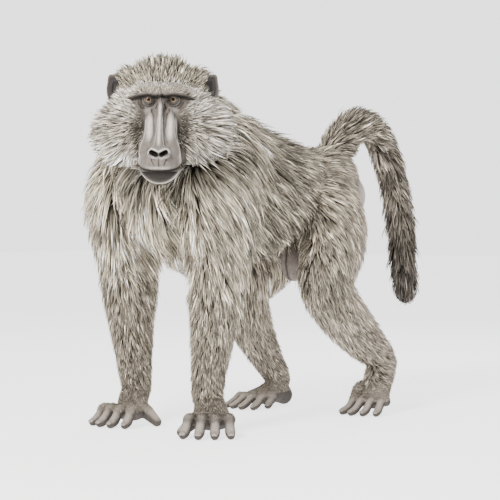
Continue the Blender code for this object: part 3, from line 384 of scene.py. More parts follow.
def foot_forms(shin, ankle, heel, ball_point, pointing, mirror, toe, hallux):
    """Heel, sole and five toes. The great toe stands off on the inner side."""
    across, ahead = across_and_ahead(pointing, mirror)
    shin, ankle, heel, front = np.array(shin), np.array(ankle), np.array(heel), np.array(ball_point)
    rows = [
        (heel, 0.022, 0.025),
        ((heel * 0.65 + front * 0.35) * 0.65 + ankle * 0.35, 0.028, 0.031),
        ((heel * 0.28 + front * 0.72) * 0.88 + ankle * 0.12, 0.035, 0.025),
        (front, 0.041, 0.0185),
    ]
    forms = [
        tube([(*p, w, t) for p, w, t in rows], side=tuple(across), sides=32),
        tube([(*shin, 0.028, 0.031), (*ankle, 0.027, 0.031)], sides=32),
    ]
    for k in range(4):
        share = k - 1.5
        way = turned(ahead, share * TOE_FAN * mirror)
        root = front + across * share * TOE_GAP - ahead * 0.004 * abs(share)
        forms.append(digit(root, way, toe * TOE_LENGTHS[k], TOE_THICKNESS, 0.002, across))
        forms.append(ball(root + UP * 0.003, (0.0105, 0.0115, 0.0105)))
    base = heel * 0.40 + front * 0.60 - across * 0.020
    way = ahead * 0.9 - across * 0.45
    forms.append(digit(base, way / np.linalg.norm(way), hallux, GREAT_TOE_THICKNESS, -0.004, across))
    return forms


trunk_rows = [(0, y, z, w + UNDERFUR * c, h + UNDERFUR * c) for y, z, w, h, c in TRUNK]
body_forms = [tube(trunk_rows, square=2.2, caps=0.55)]
for rows in (NECK, LEFT_ARM, RIGHT_ARM, LEFT_LEG, RIGHT_LEG):
    body_forms.append(tube([(x, y, z, w + UNDERFUR * c, d + UNDERFUR * c) for x, y, z, w, d, c in rows]))
body_forms.append(tube([(0, y, z, r + UNDERFUR * c, r + UNDERFUR * c) for y, z, r, c in TAIL], sides=24))
for side in (1, -1):
    for (x, y, z), radii in (SHOULDER, HAUNCH, PAD, BUTTOCK):
        body_forms.append(ball((side * x, y, z), radii))
body_forms.append(ball(*RIGHT_SHOULDER_TOP))
body_forms.append(tube(SCROTUM, steps=4))
body_forms += hand_forms(
    wrist=(0.152, -0.290, 0.078),
    palm=(0.174, -0.304, 0.0),
    pointing=34,
    mirror=1,
    finger=0.068,
    rise=0.038,
    thumb=(0.064, 0.026),
)
body_forms += hand_forms(
    wrist=(-0.116, -0.242, 0.078),
    palm=(-0.109, -0.270, 0.0),
    pointing=2,
    mirror=-1,
    finger=0.066,
    rise=0.036,
    thumb=(0.070, -0.014),
)
body_forms += foot_forms(
    shin=(0.170, 0.275, 0.188),
    ankle=(0.178, 0.330, 0.132),
    heel=(0.180, 0.346, 0.122),
    ball_point=(0.190, 0.286, 0.031),
    pointing=4,
    mirror=1,
    toe=0.082,
    hallux=0.078,
)
body_forms += foot_forms(
    shin=(-0.133, 0.262, 0.130),
    ankle=(-0.129, 0.304, 0.062),
    heel=(-0.129, 0.326, 0.024),
    ball_point=(-0.128, 0.218, 0.026),
    pointing=0,
    mirror=-1,
    toe=0.084,
    hallux=0.070,
)
skin = melted("skin", body_forms, BODY_GRAIN, SKIN_SMOOTHING)
thinned(skin, BODY_TRIANGLES)

# Skin of the head. Skull, brow ridge, long muzzle with its bony ridges, nose pad, lips and jaw, with
# the underfur of the crown and ruff. Folds, hollows, nostrils and the mouth are pressed into it.
HEAD_GRAIN = 0.0013
HEAD_TRIANGLES = 90000
# Rounded masses on the middle line and in pairs: s, f, h, radii, and degrees that each is turned down.
HEAD_MASSES = [
    (0.000, -0.076, 0.010, (0.070, 0.080, 0.060), 0),
    (0.000, -0.022, 0.012, (0.060, 0.028, 0.018), 0),
    (0.000, -0.028, -0.018, (0.058, 0.026, 0.034), 0),
    (0.000, 0.100, -0.116, (0.019, 0.013, 0.013), 40),
    (0.000, -0.084, 0.020, (0.082, 0.068, 0.064), 0),
    (0.000, 0.050, -0.1400, (0.0475, 0.052, 0.0480), 8),
]
HEAD_PAIRS = [
    (0.044, -0.060, -0.010, (0.040, 0.055, 0.052), 0),
    (0.052, -0.062, -0.074, (0.030, 0.034, 0.050), 30),
    (0.066, -0.088, 0.022, (0.041, 0.046, 0.042), 0),
    (0.070, -0.052, -0.052, (0.038, 0.036, 0.062), 0),
    (0.0125, 0.101, -0.1225, (0.0120, 0.0110, 0.0115), 15),
]
# Ridges and rolls: s, f, h, half width, half height along each.
BROW = [
    (-0.070, -0.034, -0.001, 0.009, 0.009),
    (-0.052, -0.006, 0.012, 0.012, 0.011),
    (-0.026, 0.008, 0.019, 0.013, 0.011),
    (0.000, 0.010, 0.014, 0.012, 0.010),
    (0.026, 0.008, 0.019, 0.013, 0.011),
    (0.052, -0.006, 0.012, 0.012, 0.011),
    (0.070, -0.034, -0.001, 0.009, 0.009),
]
CHEEK = [
    (0.058, -0.042, 0.002, 0.017, 0.017),
    (0.050, -0.022, -0.028, 0.019, 0.017),
    (0.051, -0.030, -0.066, 0.023, 0.022),
    (0.046, -0.036, -0.106, 0.026, 0.026),
]
MUZZLE = [
    (0, -0.045, -0.035, 0.035, 0.036),
    (0, -0.002, -0.060, 0.0355, 0.036),
    (0, 0.030, -0.090, 0.038, 0.036),
    (0, 0.055, -0.116, 0.0445, 0.034),
    (0, 0.058, -0.122, 0.0460, 0.030),
]
JAW = [
    (0, -0.060, -0.092, 0.044, 0.022),
    (0, -0.010, -0.128, 0.039, 0.022),
    (0, 0.024, -0.150, 0.040, 0.022),
    (0, 0.036, -0.158, 0.036, 0.018),
]
NASAL_RIDGE = [
    (0, 0.000, 0.000, 0.0070, 0.010),
    (0, 0.034, -0.034, 0.0060, 0.0105),
    (0, 0.070, -0.074, 0.0070, 0.0105),
    (0, 0.096, -0.106, 0.0120, 0.0110),
]
CHEEK_RIDGE = [
    (0.020, 0.000, -0.026, 0.007, 0.008),
    (0.023, 0.030, -0.054, 0.009, 0.0090),
    (0.024, 0.058, -0.085, 0.010, 0.0090),
    (0.025, 0.074, -0.106, 0.009, 0.007),
]
RUFF = [
    (0.056, -0.078, 0.036, 0.034, 0.028),
    (0.070, -0.070, 0.000, 0.035, 0.031),
    (0.089, -0.066, -0.050, 0.036, 0.040),
    (0.084, -0.066, -0.088, 0.036, 0.036),
    (0.044, -0.064, -0.110, 0.032, 0.030),
    (0.000, -0.062, -0.120, 0.032, 0.030),
]
HEAD_AXES = np.stack([SIDE, FORWARD, UP], axis=1)


def head_ball(s, f, h, radii, pitch):
    """An ellipsoid in the head's frame, its forward axis turned down by pitch degrees."""
    tilt = np.array(Matrix.Rotation(math.radians(-pitch), 3, "X"))
    return ball(from_head((s, f, h))[0], radii, HEAD_AXES @ tilt)


def head_tube(rows, side=SIDE, **how):
    """A tube through rows of s, f, h, half width, half height in the head's frame."""
    rows = np.array(rows, float)
    return tube(np.hstack([from_head(rows[:, :3]), rows[:, 3:]]), side=tuple(side), **how)


def mirrored(rows):
    """Rows on the other side of the head."""
    return [(-row[0], *row[1:]) for row in rows]


def pressed(points, path, reach, depth):
    """Pushes points of the head along a path of s, f, h, sf, ff, hf: a place and the way it is pushed.

    A point nearer than reach to the path moves by depth * (1 - (distance / reach)^2)^2.
    """
    local = to_head(points)
    rows = smooth_rows(path, 12) if len(path) > 1 else np.array(path, float)
    middle, span = rows[:, :3].mean(axis=0), np.ptp(rows[:, :3], axis=0).max()
    near = np.linalg.norm(local - middle, axis=1) < reach + span
    some = local[near]
    apart = np.linalg.norm(some[:, None] - rows[None, :, :3], axis=2)
    best = apart.argmin(axis=1)
    share = np.clip(1 - (apart[np.arange(len(some)), best] / reach) ** 2, 0, 1) ** 2
    push = rows[best, 3:6] * (share * depth)[:, None]
    points[near] += push[:, :1] * SIDE + push[:, 1:2] * FORWARD + push[:, 2:3] * UP


head_forms = [head_ball(*mass) for mass in HEAD_MASSES + HEAD_PAIRS + mirrored(HEAD_PAIRS)]
for rows in (RUFF, mirrored(RUFF)):
    head_forms.append(head_tube(rows, side=FORWARD))
head_forms += [head_tube(BROW), head_tube(CHEEK), head_tube(mirrored(CHEEK))]
head_forms += [head_tube(MUZZLE, square=2.7, caps=0.8), head_tube(JAW, square=2.05), head_tube(NASAL_RIDGE)]
head_forms += [head_tube(CHEEK_RIDGE), head_tube(mirrored(CHEEK_RIDGE))]
head = melted("head_skin", head_forms, HEAD_GRAIN, SKIN_SMOOTHING)
face = points_of(head)
FACE_TREE = BVHTree.FromPolygons(face.tolist(), [tuple(p.vertices) for p in head.data.polygons])
PATH_STEPS = 24


def on_face(rows):
    """A path of s, f, h laid on the nearest face, with the inward direction there: rows of six numbers."""
    laid = []
    for place in from_head(smooth_rows(rows, max(1, PATH_STEPS // (len(rows) - 1)))):
        found, facing, index, away = FACE_TREE.find_nearest(place)
        found, facing = np.array(found), np.array(facing)
        laid.append((*to_head(found[None])[0], -facing @ SIDE, -facing @ FORWARD, -facing[2]))
    return np.array(laid)


def under_eye(radius):
    """An arc under the left eye, from its inner to its outer corner."""
    turns = np.radians((-165, -130, -95, -60, -25, 0))
    return [(EYE[0] + radius * math.cos(a), 0.0, EYE[2] + radius * math.sin(a)) for a in turns]


# Folds and furrows of the left half: a path, how far it reaches, how deep it is and how dark its painted
# shade is.
FACE_LINES = [
    ([(0.0065, 0.012, 0.004), (0.0068, 0.020, -0.012), (0.0075, 0.036, -0.034)], 0.0036, 0.0026, 0.85),
    (
        [(0.0170, 0.000, -0.006), (0.0175, 0.010, -0.020), (0.0150, 0.026, -0.038), (0.0125, 0.048, -0.060)],
        0.0036,
        0.0022,
        0.70,
    ),
    ([(0.0125, 0.048, -0.060), (0.0120, 0.066, -0.078), (0.0180, 0.082, -0.098)], 0.0034, 0.0016, 0.45),
    ([(0.034, 0.004, -0.030), (0.0335, 0.030, -0.060), (0.034, 0.056, -0.092)], 0.0040, 0.0014, 0.40),
    (under_eye(0.0145), 0.0026, 0.0014, 0.75),
    (under_eye(0.0185), 0.0028, 0.0016, 0.50),
    (under_eye(0.0235), 0.0032, 0.0020, 0.72),
    ([(0.0040, 0.018, 0.024), (0.0035, 0.020, 0.016), (0.0055, 0.016, 0.008)], 0.0026, 0.0014, 0.50),
    ([(0.0150, 0.012, 0.015), (0.0320, 0.010, 0.013), (0.0540, -0.004, 0.006)], 0.0020, 0.0008, 0.12),
    ([(0.0230, 0.096, -0.104), (0.0275, 0.090, -0.118), (0.0270, 0.088, -0.130)], 0.0026, 0.0008, 0.30),
    ([(0.0195, 0.100, -0.1255), (0.0170, 0.100, -0.136), (0.0115, 0.100, -0.148)], 0.0024, 0.0014, 0.70),
    ([(0.0000, 0.108, -0.1290), (0.0000, 0.104, -0.140), (0.0000, 0.100, -0.150)], 0.0020, 0.0012, 0.45),
]
MOUTH = [
    (-0.046, 0.000, -0.124),
    (-0.047, 0.036, -0.142),
    (-0.041, 0.070, -0.1545),
    (-0.022, 0.090, -0.1605),
    (0.000, 0.096, -0.1618),
    (0.022, 0.090, -0.1605),
    (0.041, 0.070, -0.1545),
    (0.047, 0.036, -0.142),
    (0.046, 0.000, -0.124),
]
NOSTRIL = ((0.0062, 0.110, -0.1252), (0.0150, 0.106, -0.1208))
NOSTRIL_PRESS = (0.0078, 0.0150)
SOCKET_PRESS = (0.022, 0.011)
# The hollow beside the muzzle, under the cheek bone: s, f, h at its two ends, its reach and its depth.
HOLLOW = ((0.044, 0.006, -0.036), (0.045, 0.026, -0.080))
HOLLOW_PRESS = (0.0150, 0.0050)
LINE_DEEPER = 1.6
LINE_FLOOR = 0.85
LINE_HALF = 0.60
shaded_lines = []


def cut_line(rows, reach, depth, shade, steps=1):
    """Presses a line into the face and keeps its floor, its half width and the darkness of its painted shade
    for the colours.

    The floor lies depth * LINE_FLOOR under the face. Steps splits each of its spans, so that a wide and
    dark line is shaded without gaps.
    """
    laid = on_face(rows)
    pressed(face, laid, reach, depth)
    if steps > 1:
        laid = smooth_rows(laid, steps)
    floor = laid[:, :3] + laid[:, 3:6] * depth * LINE_FLOOR
    shaded_lines.append((floor, reach * LINE_HALF, shade))


cut_line(MOUTH, reach=0.0068, depth=0.0032, shade=1.0, steps=6)
for path, reach, depth, shade in FACE_LINES:
    for side in (1, -1):
        cut_line([(side * s, f, h) for s, f, h in path], reach, depth * LINE_DEEPER, shade)
for side in (1, -1):
    s, f, h = EYE
    pressed(face, [(side * s, 0.0, h, 0, -1, 0)], *SOCKET_PRESS)
    hole = [(side * s, f + 0.003, h, side * 0.1, -0.95, 0.3) for s, f, h in NOSTRIL]
    pressed(face, hole, *NOSTRIL_PRESS)
    pressed(face, [(side * s, f, h, -side, -0.3, 0) for s, f, h in HOLLOW], *HOLLOW_PRESS)
put_points(head, face)
thinned(head, HEAD_TRIANGLES)
union = skin.modifiers.new("union", "BOOLEAN")
union.operation = "UNION"
union.solver = "MANIFOLD"
union.object = head
baked(skin)
bpy.data.objects.remove(head)

# The lie of the coat. Hair grows back and down from the face and spine and along each limb. Lines
# down the parts carry its way, depth and colour, and a place on the skin takes the mean of them.
TRUNK_TONE = ((0.360, 0.315, 0.242), (0.250, 0.216, 0.166))
NECK_TONE = ((0.470, 0.412, 0.322), (0.430, 0.376, 0.290))
ARM_TONE = ((0.340, 0.297, 0.231), (0.205, 0.177, 0.140))
LEG_TONE = ((0.310, 0.268, 0.208), (0.250, 0.216, 0.174))
TAIL_TONE = ((0.215, 0.185, 0.145), (0.060, 0.052, 0.045))
PARTS = ("trunk", "mane", "left_arm", "right_arm", "left_leg", "right_leg", "tail", "head")
TRUNK_PART, TAIL_PART, HEAD_PART = 0, 6, 7
TRUNK_REACH = 0.13
MANE_REACH = 0.11
LIMB_REACH = 0.075
TAIL_REACH = 0.045


def ramp(value, low, high):
    """0 at low, 1 at high, and 3 t^2 - 2 t^3 in between."""
    t = np.clip((value - low) / (high - low), 0, 1)
    return t * t * (3 - 2 * t)


def bell(value, width):
    """exp(-(value / width)^2)."""
    return np.exp(-((value / width) ** 2))


line_rows = []


def add_line(part, rows, reach, tone, extra=(0, 0, 0), weight=1.0, steps=3):
    """Adds a line through rows of x, y, z, coat depth. The hair's way is its direction * weight + extra.

    Each row kept is its place, way, depth, colour, share along the line, reach and the part's number.
    """
    rows = smooth_rows(rows, steps)
    along = np.gradient(rows[:, :3], axis=0)
    along /= np.linalg.norm(along, axis=1)[:, None]
    share = np.linspace(0, 1, len(rows))
    colour = np.array(tone[0]) * (1 - share[:, None]) + np.array(tone[1]) * share[:, None]
    fixed = np.tile((reach, PARTS.index(part)), (len(rows), 1))
    columns = [rows[:, :3], along * weight + np.array(extra), rows[:, 3:4], colour, share[:, None], fixed]
    line_rows.append(np.hstack(columns))


add_line("trunk", [(0, y, z, c) for y, z, w, h, c in TRUNK], TRUNK_REACH, TRUNK_TONE, (0, 0, -0.55))
mane_rows = [(x, y, z, c) for x, y, z, w, d, c in NECK[::-1]]
add_line("mane", mane_rows, MANE_REACH, NECK_TONE, (0, 0.1, -0.75), weight=0.8)
for name, rows, tone, extra in (
    ("left_arm", LEFT_ARM, ARM_TONE, (0, 0.18, 0)),
    ("right_arm", RIGHT_ARM, ARM_TONE, (0, 0.18, 0)),
    ("left_leg", LEFT_LEG, LEG_TONE, (0, 0.15, -0.1)),
    ("right_leg", RIGHT_LEG, LEG_TONE, (0, 0.15, -0.1)),
):
    add_line(name, [(x, y, z, c) for x, y, z, w, d, c in rows], LIMB_REACH, tone, extra)
add_line("tail", [(0, y, z, c) for y, z, r, c in TAIL[1:]], TAIL_REACH, TAIL_TONE, steps=4)
LINES = np.vstack(line_rows).astype(np.float32)
POINTS_AT_ONCE = 20000


def coat_at(points):
    """Way, depth, colour, part and share along it of the coat at rows of points, before the head's own.

    Way, depth and colour are the mean over the lines' rows with the weights exp(-(distance / reach)^2).
    Part and share are those of the row that is nearest for its reach.
    """
    found = np.empty((len(points), 9), np.float32)
    for start in range(0, len(points), POINTS_AT_ONCE):
        some = points[start : start + POINTS_AT_ONCE].astype(np.float32)
        away = np.sqrt(((some[:, None] - LINES[None, :, :3]) ** 2).sum(axis=2))
        weight = np.exp(-((away / LINES[:, 11]) ** 2)) + 1e-9
        nearest = (away / LINES[:, 11]).argmin(axis=1)
        rows = slice(start, start + len(some))
        found[rows, :8] = (weight @ LINES[:, 3:11]) / weight.sum(axis=1)[:, None]
        found[rows, 7] = LINES[nearest, 10]
        found[rows, 8] = LINES[nearest, 12]
    return found[:, :3], found[:, 3], found[:, 4:7], found[:, 8].astype(int), found[:, 7]


# The ruff's edge goes round the middle of the face, which lies below the eyes.
FACE_MIDDLE = 0.045

RUFF_ANGLES = (-180, -90, -66, -44, -21, -9, 15, 32, 60, 90)
RUFF_REACH = (0.108, 0.108, 0.112, 0.124, 0.146, 0.160, 0.140, 0.150, 0.160, 0.160)


def past_ruff(local):
    """How far rows of s, f, h lie outside the ruff's edge.

    The edge is RUFF_REACH from the middle of the face, read between the angles RUFF_ANGLES.
    """
    across, upward = np.abs(local[:, 0]), local[:, 2] + FACE_MIDDLE
    edge = np.interp(np.degrees(np.arctan2(upward, across)), RUFF_ANGLES, RUFF_REACH)
    return np.hypot(across, upward) - edge


def on_head(local):
    """1 on the head and 0 on the neck, from rows of s, f, h."""
    inside = ramp(-past_ruff(local), -0.004, 0.008) * ramp(local[:, 1], -0.132, -0.112)
    return np.maximum(inside, ramp(local[:, 1], -0.016, 0.004))


def bare_face(local):
    """1 on the bare skin of eyes, muzzle and lips, 0 where hair grows, from rows of s, f, h.

    Bare is what lies nearer the middle than an edge that widens at eyes and lips, below the brow and
    ahead of the cheeks, apart from the chin.
    """
    s, f, h = np.abs(local[:, 0]), local[:, 1], local[:, 2]
    cheek = 0.040 + 0.016 * ramp(h, -0.042, -0.006) + 0.021 * ramp(h, -0.006, 0.006)
    edge = cheek + 0.012 * ramp(-h, 0.090, 0.115)
    top = 0.0130 - 0.010 * ramp(s, 0.040, 0.078)
    bare = ramp(edge - s, -0.003, 0.003) * ramp(top - h, -0.003, 0.002) * ramp(f, -0.062, -0.050)
    chin = ramp(-h, 0.150, 0.165) * ramp(-f, -0.040, -0.020)
    return bare * (1 - chin)


def head_depth(local):
    """Depth of the head's coat: short on brow and cheek bones, deeper outwards to ruff and crown."""
    s, f, h = np.abs(local[:, 0]), local[:, 1], local[:, 2]
    lower = 0.45 + 0.55 * ramp(-h, 0.000, 0.050)
    cheek = 0.006 + 0.030 * ramp(np.hypot(s, h + FACE_MIDDLE), 0.055, 0.130) * lower
    crown = 0.003 + 0.022 * ramp(h, 0.024, 0.064)
    upper = ramp(h, 0.000, 0.036)
    return cheek * (1 - upper) + crown * upper


CAPE_PLACE = (-0.170, -0.235, 0.620)
CAPE_REACH = 0.085
CAPE_DEEPER = 0.08
FOOT_COAT = 0.0024


def from_pad(points):
    """Distance from the nearer rump pad and the bare skin outside it, 1 at their edges."""
    x, y, z = np.abs(points[:, 0]), points[:, 1], points[:, 2]
    apart = []
    for (cx, cy, cz), (rx, ry, rz) in PADS_BARE:
        apart.append(np.sqrt(((x - cx) / rx) ** 2 + ((y - cy) / ry) ** 2 + ((z - cz) / rz) ** 2))
    return np.minimum(*apart)


def lie_at(points, normals):
    """Unit way and depth of the coat at rows of points with their normals, with its colour, part and share.

    On the head the hair runs away from the middle of the face: s, h + FACE_MIDDLE and a little back.
    The depth falls to FOOT_COAT at hands and feet, to a quarter at the rump pads, and is a little
    more on the cape of the right shoulder.
    """
    way, depth, colour, part, share = coat_at(points)
    local = to_head(points)
    head = on_head(local)
    radial = local[:, :1] * SIDE + (local[:, 2:3] + FACE_MIDDLE) * UP - 0.05 * FORWARD
    radial /= np.linalg.norm(radial, axis=1)[:, None]
    way = way / (np.linalg.norm(way, axis=1)[:, None] + 1e-9)
    way = way * (1 - head[:, None]) + radial * head[:, None]
    way -= normals * (way * normals).sum(axis=1)[:, None]
    way /= np.linalg.norm(way, axis=1)[:, None] + 1e-9
    depth = depth * (1 - head) + head_depth(local) * head
    low = ramp(-points[:, 2], -0.115, -0.045)
    depth = depth * (1 - low) + FOOT_COAT * low
    depth = depth * (0.25 + 0.75 * ramp(from_pad(points), 1.0, 1.9))
    cape = bell(np.linalg.norm(points - np.array(CAPE_PLACE), axis=1), CAPE_REACH)
    depth = depth * (1 + CAPE_DEEPER * cape * (1 - head))
    part = np.where(head > 0.5, HEAD_PART, part)
    return way, depth, colour, part, share


def bare_body(points):
    """Three shares, 1 where no hair grows: on hands and feet, on the rump pads and on the scrotum."""
    x, y, z = points.T
    digit_low = ramp(-z, -0.046, -0.034)
    on_pad = ramp(-from_pad(points), -1.04, -0.94) * (y > 0.26)
    bag = np.hypot(x - 0.007, y - 0.198)
    on_bag = ramp(-bag, -0.046, -0.040) * ramp(-z, -0.432, -0.420) * ramp(z, 0.30, 0.31)
    return digit_low, on_pad, on_bag


# Colours of skin and coat. The picture is a grey drawing, so the hues are the species' and the light
# and dark follow the drawing: pale brow band and cheeks, dark ears and tail end, painted shade in the
# sockets, hollows, creases and under ruff and jaw, and painted highlights on the face's ridges and rims.
HAND_SKIN = (0.270, 0.234, 0.204)
PAD_SKIN = (0.375, 0.325, 0.300)
BAG_SKIN = (0.215, 0.181, 0.164)
FACE_SKIN = (0.122, 0.106, 0.093)
# Pale, mixed in only as painted highlights on the muzzle's ridges, nostril rims, upper lip and rim.
PAINTED_HIGHLIGHT = (0.528, 0.484, 0.440)
# Near-black, mixed in only as painted shade: sockets, hollows, creases, under ruff and jaw, scrotum.
PAINTED_SHADE = (0.006, 0.005, 0.004)
BROW_SKIN = (0.235, 0.208, 0.182)
# Painted shade for the bare skin beside the muzzle.
SIDE_FACE_SHADE = (0.085, 0.072, 0.062)
POUCH_SKIN = (0.300, 0.268, 0.240)
# Painted shade inside the nostrils.
NOSTRIL_SHADE = (0.004, 0.0035, 0.003)
# Painted shade for the lower lip and chin.
CHIN_SHADE = (0.014, 0.012, 0.010)
LIP_SHADOW = (0.005, 0.004, 0.004)
CROWN_HAIR = (0.300, 0.263, 0.205)
CHEEK_HAIR = (0.385, 0.344, 0.285)
RUFF_HAIR = (0.330, 0.292, 0.236)
BAND_HAIR = (0.612, 0.565, 0.493)
# The scrotum's seam lies at this x, and the painted shade on the flank lies at this y with this reach.
BAG_SEAM = 0.007
FLANK_SHADE_MIDDLE = -0.040
FLANK_SHADE_REACH = 0.130


def mix(base, colour, share):
    """base * (1 - share) + colour * share, by rows."""
    return base * (1 - share[:, None]) + np.array(colour, np.float32) * share[:, None]


def hair_colour(points, normals, colour):
    """The coat's colour at its root: the lines', paler underneath, with painted shade on the flank and a
    painted shadow under the ruff.

    The head has its own: cheeks, ruff and crown, with painted shade in the hollows beside the muzzle and
    under the jaw, a pale band over the brow and pale temples mixed in by bells round their places.
    """
    local = to_head(points)
    s, f, h = np.abs(local[:, 0]), local[:, 1], local[:, 2]
    down = np.clip(-normals[:, 2], 0, 1)[:, None]
    up = np.clip(normals[:, 2], 0, 1)[:, None]
    # Painted shade on the flank behind the shoulder.
    flank_shade = bell(points[:, 1] - FLANK_SHADE_MIDDLE, FLANK_SHADE_REACH)[:, None]
    out = colour * (1 + 0.20 * down - 0.08 * up) * (1 - 0.55 * flank_shade)
    head = on_head(local)
    # Painted shadow on the neck under the ruff.
    ruff_shadow = bell(np.maximum(past_ruff(local) - 0.010, 0), 0.022) * ramp(-h, 0.020, 0.080)
    out = out * (1 - 0.60 * (ruff_shadow * (1 - head) * ramp(f, -0.20, -0.12))[:, None])
    ruff = ramp(np.hypot(s, h + FACE_MIDDLE), 0.105, 0.140) * 0.5
    cheek = mix(np.tile(CHEEK_HAIR, (len(points), 1)), RUFF_HAIR, ruff)
    temple = bell(np.hypot(s - 0.080, (h + 0.012) / 1.5), 0.022)
    outer = bell(past_ruff(local) + 0.020, 0.018) * ramp(-h, 0.040, 0.080)
    cheek = mix(cheek, BAND_HAIR, np.maximum(temple * 0.75, outer * 0.45))
    # Painted shade on the hair in the hollow beside the muzzle and under the jaw.
    hollow_shade = np.exp(-(((s - 0.050) / 0.013) ** 2) - ((h + 0.062) / 0.034) ** 2)
    cheek = mix(cheek, PAINTED_SHADE, np.maximum(hollow_shade * 0.85, ramp(-h, 0.140, 0.170) * 0.75))
    upper = ramp(h, 0.006, 0.036)
    face = cheek * (1 - upper[:, None]) + np.array(CROWN_HAIR) * upper[:, None]
    band_height = 0.0300 + 0.003 * bell(s - 0.03, 0.02) - 0.016 * ramp(s, 0.040, 0.084)
    band = bell(h - band_height, 0.0050 + 0.0035 * ramp(s, 0.045, 0.070)) * ramp(-s, -0.096, -0.084)
    face = mix(face, BAND_HAIR, band * (f > -0.07))
    return out * (1 - head[:, None]) + face * head[:, None]


def from_nostril(local, side):
    """Distance in s and h from a nostril, a short slanting line. Behind the muzzle's end it is far."""
    start, end = (np.array((side * place[0], place[2])) for place in NOSTRIL)
    rows = local[:, (0, 2)] - start
    share = np.clip(rows @ (end - start) / (end - start).dot(end - start), 0, 1)
    return np.linalg.norm(rows - share[:, None] * (end - start), axis=1) + 10 * (local[:, 1] < 0.06)


def face_colour(local, normals):
    """The bare face's colour: mid skin, painted highlights on ridges, nostril rims, upper lip and rim, and
    painted shade in sockets, under the brow, beside the muzzle, in hollows, nostrils, folds and mouth.

    Each mark is mixed in by a share, the product of bells and ramps of s, f and h round its place. The
    rim gets a painted highlight where the skin turns side on to the head's front, clear of the mouth.
    Lines darken by their distance as painted shade in their creases, and painted shade makes the lower
    lip and chin nearly black.
    """
    s, f, h = np.abs(local[:, 0]), local[:, 1], local[:, 2]
    out = np.tile(FACE_SKIN, (len(local), 1)).astype(np.float32)
    brow = ramp(h, 0.006, 0.012)
    out = mix(out, BROW_SKIN, brow)
    # Painted shade on the bare skin beside the muzzle, below the eyes.
    outer = ramp(s, 0.034, 0.044) * ramp(-h, -0.004, 0.006)
    out = mix(out, SIDE_FACE_SHADE, outer * ramp(-f, -0.045, -0.020) * 0.85)
    on_muzzle = ramp(-h, 0.010, 0.030)
    # Painted highlights on the nasal and cheek ridges, round the nostrils, along the upper lip's edge and on
    # the muzzle's rim where the skin turns side on.
    nasal_highlight = 0.85 * bell(s, 0.0030) * ramp(-h, 0.004, 0.020) * ramp(h, -0.112, -0.090) * ramp(f, -0.01, 0.01)
    ridge_highlight = bell(s - 0.0225, 0.0065) * ramp(-h, 0.024, 0.050) * ramp(h, -0.104, -0.075) * ramp(f, -0.01, 0.01)
    heart = np.minimum(from_nostril(local, 1), from_nostril(local, -1))
    nostril_rim_highlight = bell(heart - 0.0080, 0.0015) * ramp(h, -0.1240, -0.1190) * (f > 0.05)
    crescent_highlight = bell(heart - 0.0082, 0.0022) * ramp(-h, 0.1275, 0.1310) * (f > 0.05) * 0.45
    facing = normals @ FORWARD
    from_mouth = np.linalg.norm(local[:, None] - shaded_lines[0][0][None], axis=2).min(axis=1)
    rim_highlight = bell(facing - 0.12, 0.22) * ramp(f, -0.02, 0.01) * on_muzzle * ramp(-h, 0.036, 0.050)
    rim_highlight *= ramp(from_mouth, 0.0075, 0.0125)
    over_lip = h + 0.1545 - 0.0075 * ramp(s, 0.015, 0.045)
    upper_lip_highlight = bell(over_lip, 0.0026) * ramp(-s, -0.036, -0.012) * (f > 0.03) * 0.45
    for share in (nasal_highlight, ridge_highlight * 0.85, nostril_rim_highlight, crescent_highlight, upper_lip_highlight, rim_highlight * 0.90):
        out = mix(out, PAINTED_HIGHLIGHT, np.clip(share, 0, 1))
    for side in (1, -1):
        # Painted shade in each eye's socket.
        away = np.hypot(local[:, 0] - side * EYE[0], (h - EYE[2]) * 1.1)
        out = mix(out, PAINTED_SHADE, bell(away, 0.0130) * 0.92)
        # Painted shade inside each nostril.
        nostril = from_nostril(local, side)
        out = mix(out, NOSTRIL_SHADE, ramp(-nostril, -0.0066, -0.0046))
        pouch = bell(np.hypot(local[:, 0] - side * 0.030, h + 0.0235), 0.0075)
        out = mix(out, POUCH_SKIN, pouch * 0.4)
    # Painted shadow under the brow ridge, softer painted shade on the brow, and painted shade in the hollow
    # beside the muzzle.
    shade = bell(h - 0.0055 + 0.006 * ramp(s, 0.045, 0.075), 0.0056) * ramp(-s, -0.080, -0.072)
    hollow_shade = np.exp(-(((s - 0.0480) / 0.0110) ** 2) - ((h + 0.060) / 0.034) ** 2) * ramp(-f, -0.036, -0.014)
    brow_shade = bell(h - 0.0110, 0.0080) * ramp(-s, -0.080, -0.072) * 0.35
    for share in (brow_shade, shade * 0.92, hollow_shade * 0.93):
        out = mix(out, PAINTED_SHADE, np.clip(share, 0, 1))
    # Painted shade in the creases of the folds, furrows and mouth.
    for path, reach, strength in shaded_lines:
        away = np.linalg.norm(local[:, None] - path[None], axis=2).min(axis=1)
        out = mix(out, PAINTED_SHADE, bell(away, reach) * strength)
    # Painted shade on the lower lip and chin, darkest just under the mouth.
    lower_lip_shade = ramp(-h, 0.160, 0.163) * ramp(f, 0.02, 0.05) * (1 - np.clip(rim_highlight, 0, 1))
    out = mix(out, CHIN_SHADE, lower_lip_shade * 0.92)
    return mix(out, LIP_SHADOW, lower_lip_shade * bell(h + 0.1620, 0.0070) * 0.92)


